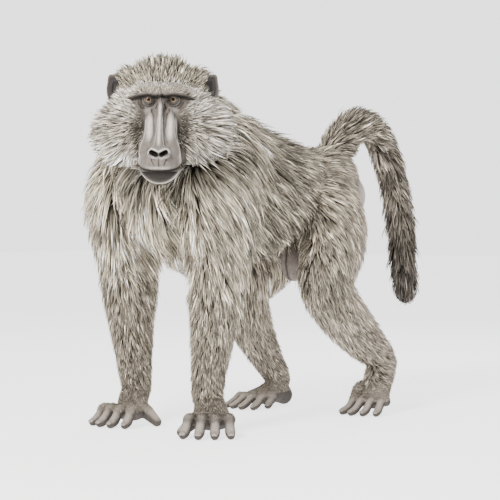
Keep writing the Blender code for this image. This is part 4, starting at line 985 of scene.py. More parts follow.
def skin_colour(points, normals):
    """The skin's colour: dark underfur where hair grows, and each bare part's own, with painted shade on
    the sides and undersides of hands and feet and on the scrotum's seam and top.

    The underfur is the hair's colour * 0.12, and up to * 0.62 where the coat is thin; its darkness is
    partly the skin's own and partly painted shade deep in the coat.
    """
    local = to_head(points)
    way, depth, colour, part, share = lie_at(points, normals)
    # The underfur's darkness is partly the skin's own and partly painted shade deep in the coat.
    thin = ramp(-depth, -0.0085, -0.0030)
    out = hair_colour(points, normals, colour) * (0.12 + 0.50 * thin[:, None])
    head = on_head(local)
    near = head > 0.01
    bare = bare_face(local) * head
    painted = out.copy()
    painted[near] = face_colour(local[near], normals[near])
    out = out * (1 - bare[:, None]) + painted * bare[:, None]
    digit_low, on_pad, on_bag = bare_body(points)
    low = ramp(-points[:, 2], -0.105, -0.050)
    # Painted shade on hands and feet: their skin darkens on sides and undersides, by how little it faces up.
    upward = 0.20 + 0.80 * ramp(normals[:, 2], 0.05, 0.80)[:, None]
    out = mix(out, np.array(HAND_SKIN) * upward, np.maximum(digit_low, low * 0.6))
    pad_edge = 0.35 + 0.65 * ramp(-from_pad(points), -0.98, -0.70)[:, None]
    out = mix(out, np.array(PAD_SKIN) * pad_edge, on_pad)
    out = mix(out, BAG_SKIN, on_bag)
    # Painted shade along the scrotum's seam and over its folded top.
    seam_shade = bell(points[:, 0] - BAG_SEAM, 0.0036) * 0.85
    top_fold_shade = ramp(points[:, 2], 0.375, 0.420) * 0.75
    return mix(out, PAINTED_SHADE, np.maximum(seam_shade, top_fold_shade) * on_bag)


def paint(obj, colours):
    """Stores a colour for each vertex as the attribute that the materials read."""
    layer = obj.data.color_attributes.new(name="marking", type="FLOAT_COLOR", domain="POINT")
    rgba = np.ones((len(colours), 4), np.float32)
    rgba[:, :3] = np.clip(colours, 0, 1)
    layer.data.foreach_set("color", rgba.ravel())


def node(tree, kind, **inputs):
    """A shader node with some inputs set, or linked where the value is a socket. _ stands for a space."""
    made = tree.nodes.new(kind)
    for name, value in inputs.items():
        socket = made.inputs[name.replace("_", " ")]
        if isinstance(value, bpy.types.NodeSocket):
            tree.links.new(value, socket)
        else:
            socket.default_value = value
    return made


def new_material(name):
    """A material, its node tree and its shader."""
    material = bpy.data.materials.new(name)
    material.use_nodes = True
    return material, material.node_tree, material.node_tree.nodes["Principled BSDF"]


def marking_in(tree):
    """The colour that paint stored on the piece."""
    marking = tree.nodes.new("ShaderNodeVertexColor")
    marking.layer_name = "marking"
    return marking.outputs["Color"]


def add_bump(tree, shader, height, distance, **more):
    """Raises the shader's surface by height * distance."""
    bump = node(tree, "ShaderNodeBump", Height=height, Distance=distance, **more)
    tree.links.new(bump.outputs["Normal"], shader.inputs["Normal"])


def marked_material(name, roughness, specular, grain, grain_depth, fold, fold_depth, mottle):
    """A material that takes its colour from the marking, mottled by 0.62 to 1.38.

    Its bump is a fine grain over coarser folds. Grain, fold and mottle are how many there are in a metre.
    """
    material, tree, shader = new_material(name)
    place = tree.nodes.new("ShaderNodeTexCoord").outputs["Object"]
    spots = node(tree, "ShaderNodeTexNoise", Vector=place, Scale=mottle, Detail=4.0, Roughness=0.6)
    spread = node(tree, "ShaderNodeMapRange", Value=spots.outputs["Fac"], To_Min=0.62, To_Max=1.38)
    tinted = tree.nodes.new("ShaderNodeVectorMath")
    tinted.operation = "SCALE"
    tree.links.new(marking_in(tree), tinted.inputs[0])
    tree.links.new(spread.outputs["Result"], tinted.inputs["Scale"])
    tree.links.new(tinted.outputs["Vector"], shader.inputs["Base Color"])
    fine = node(tree, "ShaderNodeTexNoise", Vector=place, Scale=grain, Detail=3.0)
    coarse = node(tree, "ShaderNodeTexVoronoi", Vector=place, Scale=fold)
    coarse.feature = "DISTANCE_TO_EDGE"
    folds = node(tree, "ShaderNodeBump", Height=coarse.outputs["Distance"], Distance=fold_depth, Strength=0.6)
    add_bump(tree, shader, fine.outputs["Fac"], grain_depth, Normal=folds.outputs["Normal"])
    shader.inputs["Roughness"].default_value = roughness
    shader.inputs["Specular IOR Level"].default_value = specular
    return material


skin_points, skin_normals = points_of(skin), normals_of(skin)
paint(skin, skin_colour(skin_points, skin_normals))
skin.data.materials.clear()
bare_hide = marked_material(
    "bare_hide",
    roughness=0.70,
    specular=0.10,
    grain=900.0,
    grain_depth=0.0010,
    fold=240.0,
    fold_depth=0.0024,
    mottle=120.0,
)
skin.data.materials.append(bare_hide)
skin.data.polygons.foreach_set("use_smooth", [True] * len(skin.data.polygons))
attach(skin, "root")
FLESH = [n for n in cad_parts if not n.startswith(("eye_", "ear_"))]
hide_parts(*FLESH)

# Eyes: balls with a bulged cornea, an amber iris with a dark rim, a round pupil and a dark white,
# as a glass eye is blown and painted. Each looks straight ahead.
EYE_RADIUS = 0.0132
CORNEA_BULGE = 0.0007
IRIS_ANGLE = math.radians(32)
PUPIL_ANGLE = math.radians(16.5)
EYE_RINGS = 90
EYE_SIDES = 48
EYE_WHITE = (0.110, 0.085, 0.070)
IRIS_AMBER = (0.150, 0.105, 0.058)
IRIS_BROWN = (0.110, 0.070, 0.038)
IRIS_RIM = (0.010, 0.007, 0.005)
PUPIL_BLACK = (0.002, 0.002, 0.002)
STREAKS = 23


def eye_middle(side):
    """The middle of an eye as s, f, h. Side is 1 for the left eye and -1 for the right."""
    return np.array((side * EYE[0], EYE[1], EYE[2]))


def eye_surface(rings, sides):
    """A ball whose pole looks ahead: radius + bulge * (1 - (angle / (1.15 * iris angle))^2) near the iris."""
    angle = np.linspace(0, math.pi, rings)[1:-1]
    radius = EYE_RADIUS + CORNEA_BULGE * np.clip(1 - (angle / (IRIS_ANGLE * 1.15)) ** 2, 0, 1)
    turn = 2 * np.pi * np.arange(sides) / sides
    s = (radius * np.sin(angle))[:, None] * np.cos(turn)[None]
    h = (radius * np.sin(angle))[:, None] * np.sin(turn)[None]
    f = (radius * np.cos(angle))[:, None] * np.ones(sides)[None]
    points = np.stack([s, f, h], axis=2).reshape(-1, 3)
    last = (rings - 3) * sides
    faces = [tuple(q) for q in ring_quads(rings - 2, sides)[:, (0, 3, 2, 1)].tolist()]
    faces += [tuple(range(sides)), tuple(range(last, last + sides))[::-1]]
    return points, faces, np.repeat(angle, sides)


eye_points, eye_faces, eye_angle = eye_surface(EYE_RINGS, EYE_SIDES)
eye_colour = np.tile(EYE_WHITE, (len(eye_points), 1))
streaks = 0.85 + 0.30 * np.abs(np.sin(np.arctan2(eye_points[:, 2], eye_points[:, 0]) * STREAKS))
outwards = ramp(eye_angle, PUPIL_ANGLE * 1.2, IRIS_ANGLE) * 0.6
iris = mix(np.tile(IRIS_AMBER, (len(eye_points), 1)), IRIS_BROWN, outwards)
eye_colour = np.where((eye_angle < IRIS_ANGLE)[:, None], iris * streaks[:, None], eye_colour)
eye_colour = mix(eye_colour, IRIS_RIM, bell(eye_angle - IRIS_ANGLE, 0.055) * 0.9)
eye_colour = mix(eye_colour, PUPIL_BLACK, ramp(-eye_angle, -PUPIL_ANGLE - 0.02, -PUPIL_ANGLE + 0.02))
glass, glass_tree, glass_shader = new_material("glass_eye")
glass_tree.links.new(marking_in(glass_tree), glass_shader.inputs["Base Color"])
glass_shader.inputs["Roughness"].default_value = 0.5
glass_shader.inputs["Specular IOR Level"].default_value = 0.0
glass_shader.inputs["Coat Weight"].default_value = 0.35
glass_shader.inputs["Coat Roughness"].default_value = 0.03
for side, name in ((1, "left"), (-1, "right")):
    eye = new_object("eyeball_" + name, from_head(eye_points + eye_middle(side)), eye_faces)
    eye.data.materials.append(glass)
    paint(eye, eye_colour)
    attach(eye, "root")
    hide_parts("eye_" + name)

# Lids: rings of dark skin that hug each eye, thick at the edge, creased above and pouched in folds
# below. Their outer edge sinks into the socket and their inner edge lies on the eye.
# Steps across a ring, from the opening outwards and back under: how far along the eye, and how far off it.
LID_ARCS = (0.0000, 0.0006, 0.0016, 0.0034, 0.0050, 0.0066, 0.0084, 0.0104, 0.0122, 0.0110, 0.0060, 0.0000)
UPPER_STAND = np.array(
    (0.0004, 0.0016, 0.0024, 0.0022, 0.0012, 0.0026, 0.0030, 0.0020, -0.0020, -0.0060, -0.0040, -0.0030)
)
LOWER_STAND = np.array(
    (0.0004, 0.0014, 0.0020, 0.0026, 0.0018, 0.0030, 0.0020, 0.0030, -0.0020, -0.0060, -0.0040, -0.0030)
)
LID_SIDES = 72
OPENING_HALF_WIDTH = 0.0103
OPENING_ABOVE = 0.0054
OPENING_BELOW = 0.0064
LID_EDGE = (0.018, 0.015, 0.013)
LID_FOLDS = (0.130, 0.112, 0.099)
lid_turn = 2 * np.pi * np.arange(LID_SIDES) / LID_SIDES
opening_s = OPENING_HALF_WIDTH * np.cos(lid_turn)
half_height = np.where(np.sin(lid_turn) > 0, OPENING_ABOVE, OPENING_BELOW)
opening_h = half_height * np.sin(lid_turn) * (1 - 0.30 * np.cos(lid_turn) ** 2)
edge = np.hypot(opening_s, opening_h)
upper = ramp(np.sin(lid_turn), -0.35, 0.35)[None]
stand = LOWER_STAND[:, None] * (1 - upper) + UPPER_STAND[:, None] * upper
arc = np.arcsin(edge / EYE_RADIUS)[None] + np.array(LID_ARCS)[:, None] / EYE_RADIUS
lid_radius = EYE_RADIUS + stand
lid_s = lid_radius * np.sin(arc) * (opening_s / edge)[None]
lid_h = lid_radius * np.sin(arc) * (opening_h / edge)[None]
lid_f = lid_radius * np.cos(arc)
lid_points = np.stack([lid_s, lid_f, lid_h], axis=2).reshape(-1, 3)
lid_faces = (ring_quads(len(LID_ARCS) + 1, LID_SIDES) % len(lid_points)).tolist()
lid_skin = marked_material(
    "lid_skin",
    roughness=0.50,
    specular=0.40,
    grain=1400.0,
    grain_depth=0.0004,
    fold=500.0,
    fold_depth=0.0005,
    mottle=200.0,
)
for side, name in ((1, "left"), (-1, "right")):
    place = lid_points * np.array((side, 1, 1)) + eye_middle(side)
    lids = new_object("lids_" + name, from_head(place), lid_faces)
    rounded = lids.modifiers.new("rounded", "SUBSURF")
    rounded.levels = 1
    rounded.render_levels = 1
    baked(lids)
    lids.data.materials.append(lid_skin)
    from_eye = to_head(points_of(lids)) - eye_middle(side)
    away = np.hypot(from_eye[:, 0], from_eye[:, 2])
    paint(lids, mix(np.tile(LID_EDGE, (len(away), 1)), LID_FOLDS, ramp(away, 0.0108, 0.0145)))
    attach(lids, "root")

# Ears: thin cups of dark skin with a rolled and paler rim, painted shade deep inside, a pointed upper
# outer corner and a fold inside. Each stands out from the side of the head, and no hair grows in
# front of it.
EAR = (0.106, -0.072, 0.026)
EAR_HALF = (0.0245, 0.0350)
EAR_CORNER = 0.0065
EAR_CORNER_TURN = math.radians(58)
EAR_CORNER_SPREAD = math.radians(17)
EAR_DEPTH = 0.0145
EAR_WALL = 0.0030
EAR_EDGE = 0.0016
EAR_FOLD = 0.0030
EAR_ROLL = 0.0012
EAR_OUTWARD = math.radians(28)
EAR_SIDES = 72
EAR_STEPS = 16
EAR_SKIN = (0.075, 0.063, 0.054)
# Painted shade deep inside the ear cup.
EAR_CUP_SHADE = (0.014, 0.011, 0.010)
EAR_RIM = (0.140, 0.120, 0.102)


def ear_surface(side):
    """A cup: the back lies depth * (1 - v^2) behind the rim and the inside a wall's thickness nearer.

    The inside also has a fold at v 0.62 and rolls forward at the rim.
    """
    turns = 2 * np.pi * np.arange(EAR_SIDES) / EAR_SIDES
    corner = bell(turns - EAR_CORNER_TURN, EAR_CORNER_SPREAD)
    width = (EAR_HALF[0] + EAR_CORNER * corner) * np.cos(turns)
    height = (EAR_HALF[1] + EAR_CORNER * corner) * np.sin(turns)
    v = np.linspace(0.08, 1, EAR_STEPS)
    back = -EAR_DEPTH * (1 - v**2) - EAR_EDGE
    fold = EAR_FOLD * bell(v[::-1] - 0.62, 0.10)
    roll = EAR_ROLL * bell(v[::-1] - 0.97, 0.05)
    inside = -(EAR_DEPTH - EAR_WALL) * (1 - v[::-1] ** 2)
    strength = 0.4 + 0.6 * np.clip(np.cos(turns - math.radians(20)), 0, 1)
    shares = np.concatenate([v, v[::-1] * 0.93])
    front = inside[:, None] + roll[:, None] + fold[:, None] * strength[None]
    depths = np.vstack([np.tile(back[:, None], EAR_SIDES), front])
    normal = np.array((side * math.sin(EAR_OUTWARD), math.cos(EAR_OUTWARD), 0.06))
    normal /= np.linalg.norm(normal)
    upward = np.array((side * 0.10, 0, 1.0))
    upward -= normal * upward.dot(normal)
    upward /= np.linalg.norm(upward)
    outward = np.cross(upward, normal)
    outward *= np.sign(outward[0] * side)
    local = (
        np.array((side * EAR[0], EAR[1], EAR[2]))
        + shares[:, None, None] * width[None, :, None] * outward
        + shares[:, None, None] * height[None, :, None] * upward
        + depths[:, :, None] * normal
    )
    inner = np.repeat(np.arange(len(shares)) >= EAR_STEPS, EAR_SIDES)
    faces = closed_rings(len(shares), EAR_SIDES)
    return local.reshape(-1, 3), faces, inner, np.repeat(shares, EAR_SIDES)


ear_skin = marked_material(
    "ear_skin",
    roughness=0.62,
    specular=0.30,
    grain=1000.0,
    grain_depth=0.0005,
    fold=340.0,
    fold_depth=0.0006,
    mottle=160.0,
)
for side, name in ((1, "left"), (-1, "right")):
    ear_local, ear_faces, inner, share = ear_surface(side)
    ear = new_object("ear_" + name + "_cup", from_head(ear_local), ear_faces)
    ear.data.materials.append(ear_skin)
    # Painted shade deep inside each cup.
    dark = mix(np.tile(EAR_SKIN, (len(share), 1)), EAR_CUP_SHADE, ramp(-share, -0.94, -0.74) * inner)
    paint(ear, mix(dark, EAR_RIM, ramp(share, 0.95, 1.0) * 0.6))
    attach(ear, "root")
    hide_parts("ear_" + name)

# Nails: dark horn plates that arch over each finger and toe tip and end in a blunt edge. Each is a
# thin closed shell, narrowest at root and tip, and sits a little proud of the skin.
NAIL_LENGTH = 0.0105
NAIL_WRAP = 0.85
NAIL_UNDER = 0.80
NAIL_THICKNESS = 0.0004
NAIL_PROUD = 0.0006
NAIL_STEPS = (7, 9)
NAIL_POINTS = NAIL_STEPS[0] * NAIL_STEPS[1]
# Faces of the plate's top, of its underside, and of the rim between them.
nail_grid = np.arange(NAIL_POINTS).reshape(NAIL_STEPS)
nail_corners = [nail_grid[:-1, :-1], nail_grid[:-1, 1:], nail_grid[1:, 1:], nail_grid[1:, :-1]]
nail_top = np.stack(nail_corners, axis=2).reshape(-1, 4)
nail_edge = np.concatenate([nail_grid[0], nail_grid[1:-1, -1], nail_grid[-1, ::-1], nail_grid[-2:0:-1, 0]])
nail_onward = np.roll(nail_edge, -1)
nail_rim = np.stack([nail_onward, nail_edge, NAIL_POINTS + nail_edge, NAIL_POINTS + nail_onward], axis=1)
nail_faces = np.vstack([nail_top, NAIL_POINTS + nail_top[:, (0, 3, 2, 1)], nail_rim]).tolist()
nail_forms = []
for tip, before, way, across, thickness in digits:
    ahead = tip - before
    ahead /= np.linalg.norm(ahead)
    up = np.cross(across, ahead)
    up *= np.sign(up[2])
    steps_along, steps_across = NAIL_STEPS
    t, a = np.meshgrid(np.linspace(0, 1, steps_along), np.linspace(-1, 1, steps_across), indexing="ij")
    reach = thickness * TIP_SWELL + NAIL_PROUD
    narrow = np.sqrt(1 - (0.75 * (2 * t - 1) ** 2))
    lift = np.cos(a * narrow * NAIL_WRAP) * reach
    out = np.sin(a * narrow * NAIL_WRAP) * reach
    forward = (t - 0.45) * NAIL_LENGTH + reach * 0.30
    lift = lift - 0.30 * reach * t**2
    plate = tip + forward[..., None] * ahead
    top = plate + out[..., None] * across + lift[..., None] * up
    under = plate + (out * NAIL_UNDER)[..., None] * across
    under = under + (lift * NAIL_UNDER - NAIL_THICKNESS)[..., None] * up
    nail_forms.append((np.vstack([top.reshape(-1, 3), under.reshape(-1, 3)]), nail_faces))
nails = new_object("nails", *joined_forms(nail_forms))
horn, horn_tree, horn_shader = new_material("dark_horn")
horn_place = horn_tree.nodes.new("ShaderNodeTexCoord").outputs["Object"]
horn_noise = node(horn_tree, "ShaderNodeTexNoise", Vector=horn_place, Scale=420.0, Detail=3.0)
horn_ramp = horn_tree.nodes.new("ShaderNodeValToRGB")
horn_ramp.color_ramp.elements[0].position = 0.35
horn_ramp.color_ramp.elements[0].color = (0.130, 0.108, 0.090, 1)
horn_ramp.color_ramp.elements[1].position = 0.70
horn_ramp.color_ramp.elements[1].color = (0.320, 0.280, 0.240, 1)
horn_tree.links.new(horn_noise.outputs["Fac"], horn_ramp.inputs["Fac"])
horn_tree.links.new(horn_ramp.outputs["Color"], horn_shader.inputs["Base Color"])
add_bump(horn_tree, horn_shader, horn_noise.outputs["Fac"], 0.0003)
horn_shader.inputs["Roughness"].default_value = 0.36
nails.data.materials.append(horn)
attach(nails, "root")

# The coat: about 110,000 tapered locks of hair, each a closed sliver of three sides that leaves the
# skin, follows its lie and thins to a tip. They are long on mane and ruff and fine on face and hands.
COAT_SEED = 4
# Spacing and width are a least size and what each metre of the coat's depth adds to it.
LOCK_SPACING = (0.00240, 0.0520)
LOCK_WIDTH = (0.00170, 0.0430)
LOCK_LENGTH = 1.75
LOCK_LEAST = 0.0048
LONG_COAT = 0.024
# On the head the locks stand closer and are shorter and narrower by these shares.
HEAD_SPACING = 0.80
HEAD_LENGTH = 0.80
HEAD_WIDTH = 0.72
CLUMP_SIZE = 12
SHORT_LEADERS = 0.22
LONG_PULL = 0.55
SHORT_PULL = 0.35
RAISED_SHARE = 0.14
RAISED_LIFT = 1.25
# How far round a quarter turn the lift of a lock goes on its way from root to tip, in radians.
LIFT_TURN = 1.35
# Guard hairs: wider, longer and higher locks of other tones, where the coat is deeper than a
# least share of LONG_COAT.
GUARD_SHARE = 0.16
GUARD_LEAST = 0.3
GUARD_WIDTH = 1.9
GUARD_LENGTH = 1.12
GUARD_LENGTH_ON_HEAD = 1.25
GUARD_LIFT = 1.15
GUARD_LIFT_AT_ENDS = 1.30
GUARD_TONES = (0.45, 1.30, 1.50)
CHIN_SHORTER = 0.60
CHIN_FLATTER = 0.80
YAW_SPREAD = math.radians(8)
ROLL_SPREAD = math.radians(35)
ROOT_SINK = 0.0015
BAKE_PATCH = 0.0015
rng = np.random.default_rng(COAT_SEED)


def skin_samples():
    """Places on the skin, their normals: each triangle gets its area / spacing^2 of them, spread evenly."""
    mesh = skin.data
    mesh.calc_loop_triangles()
    corners = np.empty(len(mesh.loop_triangles) * 3, np.int32)
    mesh.loop_triangles.foreach_get("vertices", corners)
    corners = corners.reshape(-1, 3)
    a, b, c = (skin_points[corners[:, k]] for k in range(3))
    area = np.linalg.norm(np.cross(b - a, c - a), axis=1) / 2
    middle = (a + b + c) / 3
    flat = np.cross(b - a, c - a)
    flat /= np.linalg.norm(flat, axis=1)[:, None] + 1e-15
    way, depth, colour, part, share = lie_at(middle, flat)
    spacing = LOCK_SPACING[0] + LOCK_SPACING[1] * depth
    spacing = np.where(part == HEAD_PART, spacing * HEAD_SPACING, spacing)
    total = np.concatenate([[0], np.cumsum(area / spacing**2)]) + rng.random()
    count = np.diff(np.floor(total)).astype(int)
    chosen = np.repeat(np.arange(len(area)), count)
    u, v = rng.random((2, len(chosen)))
    over = u + v > 1
    u, v = np.where(over, 1 - u, u), np.where(over, 1 - v, v)
    weights = np.stack([1 - u - v, u, v], axis=1)
    places = np.einsum("nk,nkj->nj", weights, skin_points[corners[chosen]])
    normals = np.einsum("nk,nkj->nj", weights, skin_normals[corners[chosen]])
    normals /= np.linalg.norm(normals, axis=1)[:, None]
    return places, normals


def grows(places):
    """Whether hair grows at each place: never on bare parts, and by chance at their edges."""
    local = to_head(places)
    head = on_head(local)
    digit_low, on_pad, on_bag = bare_body(places)
    eyes = np.zeros(len(places))
    ears = np.zeros(len(places))
    for side in (1, -1):
        eyes = np.maximum(eyes, ramp(-np.linalg.norm(local - eye_middle(side), axis=1), -0.020, -0.017))
        ear_front = np.array((side * EAR[0], EAR[1] + 0.004, EAR[2]))
        ears = np.maximum(ears, ramp(-np.linalg.norm(local - ear_front, axis=1), -0.026, -0.018))
    before_ears = ears * (local[:, 1] > -0.085)
    bare = np.max([bare_face(local) * head, digit_low, on_pad, on_bag, eyes, before_ears], axis=0)
    return rng.random(len(places)) > bare


places, normals = skin_samples()
kept = grows(places)
places, normals = places[kept], normals[kept]
way, depth, colour, part, share = lie_at(places, normals)
count = len(places)

# Neighbouring locks lean together: each turns towards the line of the nearest clump's leader.
leading = np.where((part == HEAD_PART) | (depth < LONG_COAT), SHORT_LEADERS, 1 / CLUMP_SIZE)
leaders = np.flatnonzero(rng.random(count) < leading)
tree = KDTree(len(leaders))
for k, row in enumerate(places[leaders]):
    tree.insert(row, k)
tree.balance()
clump = np.array([tree.find(row)[1] for row in places])
leader_place, leader_way = places[leaders][clump], way[leaders][clump]
variety = 0.26 + 0.16 * ramp(depth, 0.008, 0.036)
leader_tone = np.exp(rng.normal(0, 1, len(leaders))[clump] * variety)
leader_lift = rng.uniform(0.80, 1.15, len(leaders))[clump]
length = np.maximum(LOCK_LENGTH * depth, LOCK_LEAST) * rng.uniform(0.72, 1.18, count)
length = np.where(part == HEAD_PART, length * HEAD_LENGTH, length)
yaw = rng.normal(0, YAW_SPREAD, count) + rng.normal(0, YAW_SPREAD * 0.9, len(leaders))[clump]
across = np.cross(normals, way)
way = way * np.cos(yaw)[:, None] + across * np.sin(yaw)[:, None]
pull = np.where(depth > LONG_COAT, LONG_PULL, SHORT_PULL)[:, None]
aim = leader_place + leader_way * length[:, None] - places
aim -= normals * (aim * normals).sum(axis=1)[:, None]
aim /= np.linalg.norm(aim, axis=1)[:, None] + 1e-9
way = way * (1 - pull) + aim * pull
way /= np.linalg.norm(way, axis=1)[:, None] + 1e-9
lift = (1 - UNDERFUR) * depth * leader_lift * rng.uniform(0.75, 1.10, count)
lift = np.where(rng.random(count) < RAISED_SHARE, lift * RAISED_LIFT, lift)
width = (LOCK_WIDTH[0] + LOCK_WIDTH[1] * depth) * rng.uniform(0.7, 1.3, count)
width = np.where(part == HEAD_PART, width * HEAD_WIDTH, width)
guard = (rng.random(count) < GUARD_SHARE) & (depth > LONG_COAT * GUARD_LEAST)
width = np.where(guard, width * GUARD_WIDTH, width)
# Under the chin the locks are short and lie close.
head_roots = to_head(places)
chin = ramp(-head_roots[:, 2], 0.100, 0.140) * ramp(head_roots[:, 1], -0.085, -0.045)
chin *= ramp(-np.abs(head_roots[:, 0]), -0.078, -0.052)
guard_length = np.where(part == HEAD_PART, GUARD_LENGTH_ON_HEAD, GUARD_LENGTH)
length = np.where(guard, length * guard_length, length) * (1 - CHIN_SHORTER * chin)
lift = lift * (1 - CHIN_FLATTER * chin)
lift = np.where(guard, lift * np.where(part >= TAIL_PART, GUARD_LIFT_AT_ENDS, GUARD_LIFT), lift)
roll = rng.uniform(-ROLL_SPREAD, ROLL_SPREAD, count)
tone = leader_tone * np.exp(rng.normal(0, 1, count) * (variety + 0.02))
tone = np.where(guard, tone * rng.choice(GUARD_TONES, count), tone)
# Stiff locks leave the form at the lower ruff and at the tail's tip.
at_ruff = 0.45 * on_head(head_roots) * ramp(head_roots[:, 2], -0.140, -0.095)
at_tail_tip = 0.60 * (part == TAIL_PART) * ramp(share, 0.82, 0.92)
stiff = 0.30 * (1 - chin) + at_ruff + at_tail_tip
hide = BVHTree.FromPolygons(skin_points.tolist(), [tuple(p.vertices) for p in skin.data.polygons])


def hair_paths(chosen, stations):
    """Middles and normals along some locks, by stations: each step follows the hide, then lifts.

    The lift at a share of the length is lift * (sin(LIFT_TURN * share) / sin(LIFT_TURN))^0.8. A stiff
    lock keeps to its first line where that stands clear of the hide, so it leaves the form at a rim.
    """
    start, heading = places[chosen].copy(), way[chosen].copy()
    step = (length[chosen] / (stations - 1))[:, None]
    shares = np.linspace(0, 1, stations)
    here, up = start.copy(), normals[chosen].copy()
    middles = np.empty((len(chosen), stations, 3))
    ups = np.empty_like(middles)
    middles[:, 0] = here - up * ROOT_SINK
    ups[:, 0] = up
    first_up = up.copy()
    for k in range(1, stations):
        guess = here + heading * step
        for row in range(len(guess)):
            found, facing, index, away = hide.find_nearest(guess[row])
            here[row] = found
            up[row] = facing
        heading = heading - up * (heading * up).sum(axis=1)[:, None]
        heading /= np.linalg.norm(heading, axis=1)[:, None] + 1e-9
        rise = (lift[chosen] * np.sin(shares[k] * LIFT_TURN) ** 0.8 / np.sin(LIFT_TURN) ** 0.8)[:, None]
        close = here + up * rise
        straight = start + way[chosen] * (step * k) + first_up * rise
        clear = ((straight - here) * up).sum(axis=1)
        keep = (stiff[chosen] * ramp(clear, rise[:, 0] * 0.6, rise[:, 0] * 0.9 + 1e-6))[:, None]
        middles[:, k] = close * (1 - keep) + straight * keep
        ups[:, k] = up
    return middles, ups


def hair_mesh(name, chosen, stations):
    """One coat piece: each lock is rings of three points round its path that end in one point.

    A ring's points are middle -+ across * width / 2 and middle + up * 0.8 * width / 2, and width
    follows 1.35 * (share + 0.30)^0.5 * (1 - share)^0.7. A lock is dark at its root and pale at its tip,
    partly the hair's own banding and partly painted shade deep in the coat, and has a small patch of
    the map OFBake at its root's spot.
    """
    middles, ups = hair_paths(chosen, stations)
    amount = len(chosen)
    along = np.gradient(middles, axis=1)
    along /= np.linalg.norm(along, axis=2)[:, :, None] + 1e-12
    side = np.cross(ups, along)
    side /= np.linalg.norm(side, axis=2)[:, :, None] + 1e-12
    over = np.cross(along, side)
    c, s = np.cos(roll[chosen])[:, None, None], np.sin(roll[chosen])[:, None, None]
    side, over = side * c + over * s, over * c - side * s
    shares = np.linspace(0, 1, stations)[:-1]
    profile = 1.35 * (shares + 0.30) ** 0.5 * (1 - shares) ** 0.7
    half = (width[chosen, None] * profile[None] / 2)[..., None]
    rings = np.empty((amount, stations - 1, 3, 3))
    rings[:, :, 0] = middles[:, :-1] - side[:, :-1] * half
    rings[:, :, 1] = middles[:, :-1] + side[:, :-1] * half
    rings[:, :, 2] = middles[:, :-1] + over[:, :-1] * half * 0.8
    per = (stations - 1) * 3 + 1
    points = np.concatenate([rings.reshape(amount, -1, 3), middles[:, -1:]], axis=1).reshape(-1, 3)
    small = [(2, 1, 0)]
    for ring in range(stations - 2):
        for k in range(3):
            a, b = ring * 3 + k, ring * 3 + (k + 1) % 3
            small += [(a, b, b + 3), (a, b + 3, a + 3)]
    last = (stations - 2) * 3
    small += [(last + k, last + (k + 1) % 3, per - 1) for k in range(3)]
    faces = (np.arange(amount)[:, None, None] * per + np.array(small)[None]).reshape(-1, 3)
    mesh = bpy.data.meshes.new(name)
    mesh.vertices.add(len(points))
    mesh.vertices.foreach_set("co", (points + SHIFT).astype(np.float32).ravel())
    mesh.loops.add(faces.size)
    mesh.loops.foreach_set("vertex_index", faces.ravel().astype(np.int32))
    mesh.polygons.add(len(faces))
    mesh.polygons.foreach_set("loop_start", np.arange(0, faces.size, 3, dtype=np.int32))
    mesh.polygons.foreach_set("use_smooth", [True] * len(faces))
    mesh.update(calc_edges=True)
    obj = bpy.data.objects.new(name, mesh)
    bpy.context.scene.collection.objects.link(obj)
    where = np.concatenate([np.repeat(shares, 3), [1.0]])
    roots = hair_colour(places[chosen], normals[chosen], colour[chosen]) * tone[chosen, None]
    # Dark roots and pale tips: partly the hair's own banding, partly painted shade deep in the coat.
    shade = 0.08 + 0.92 * ramp(where, 0.08, 0.65) + 0.50 * where**2
    paint(obj, (roots[:, None] * shade[None, :, None]).reshape(-1, 3))
    aside = np.concatenate([np.tile((-1.0, 1.0, 0.0), stations - 1), [0.0]])
    spot = np.stack([np.tile(aside, amount), np.tile(where * 2 - 1, amount)], axis=1) * BAKE_PATCH
    spot += np.repeat(bake_place[chosen], per, axis=0)
    layer = mesh.uv_layers.new(name="OFBake")
    layer.data.foreach_set("uv", spot[faces.ravel()].astype(np.float32).ravel())
    return obj


STRIP = (0.25, 0.5)
STRIP_EDGE = 0.006
STRIP_INSIDE = (0.238, 0.488)


def unwrapped(places):
    """A place's spot on the unwrapped hide: its angle round the nearest line across, its share along it up.

    Each part has its own strip of the map, and the head's is wound round the line from nose to nape.
    """
    spots = np.empty((len(places), 2))
    for line in range(len(PARTS)):
        here = part == line
        if line == HEAD_PART:
            local = to_head(places[here])
            angle = np.arctan2(local[:, 2] + FACE_MIDDLE, local[:, 0])
            along = np.clip((0.10 - local[:, 1]) / 0.27, 0, 1)
        else:
            away = places[here] - line_middle(line, share[here])
            level = line in (TRUNK_PART, TAIL_PART)
            angle = np.arctan2(away[:, 2] if level else away[:, 1], away[:, 0])
            along = share[here]
        turn = angle / (2 * np.pi) + 0.5
        spots[here, 0] = (line % 4) * STRIP[0] + STRIP_EDGE + turn * STRIP_INSIDE[0]
        spots[here, 1] = (line // 4) * STRIP[1] + STRIP_EDGE + along * STRIP_INSIDE[1]
    return spots


def line_middle(line, along):
    """The places at some shares along a line."""
    rows = LINES[LINES[:, 12] == line]
    return np.stack([np.interp(along, rows[:, 10], rows[:, k]) for k in range(3)], axis=1)


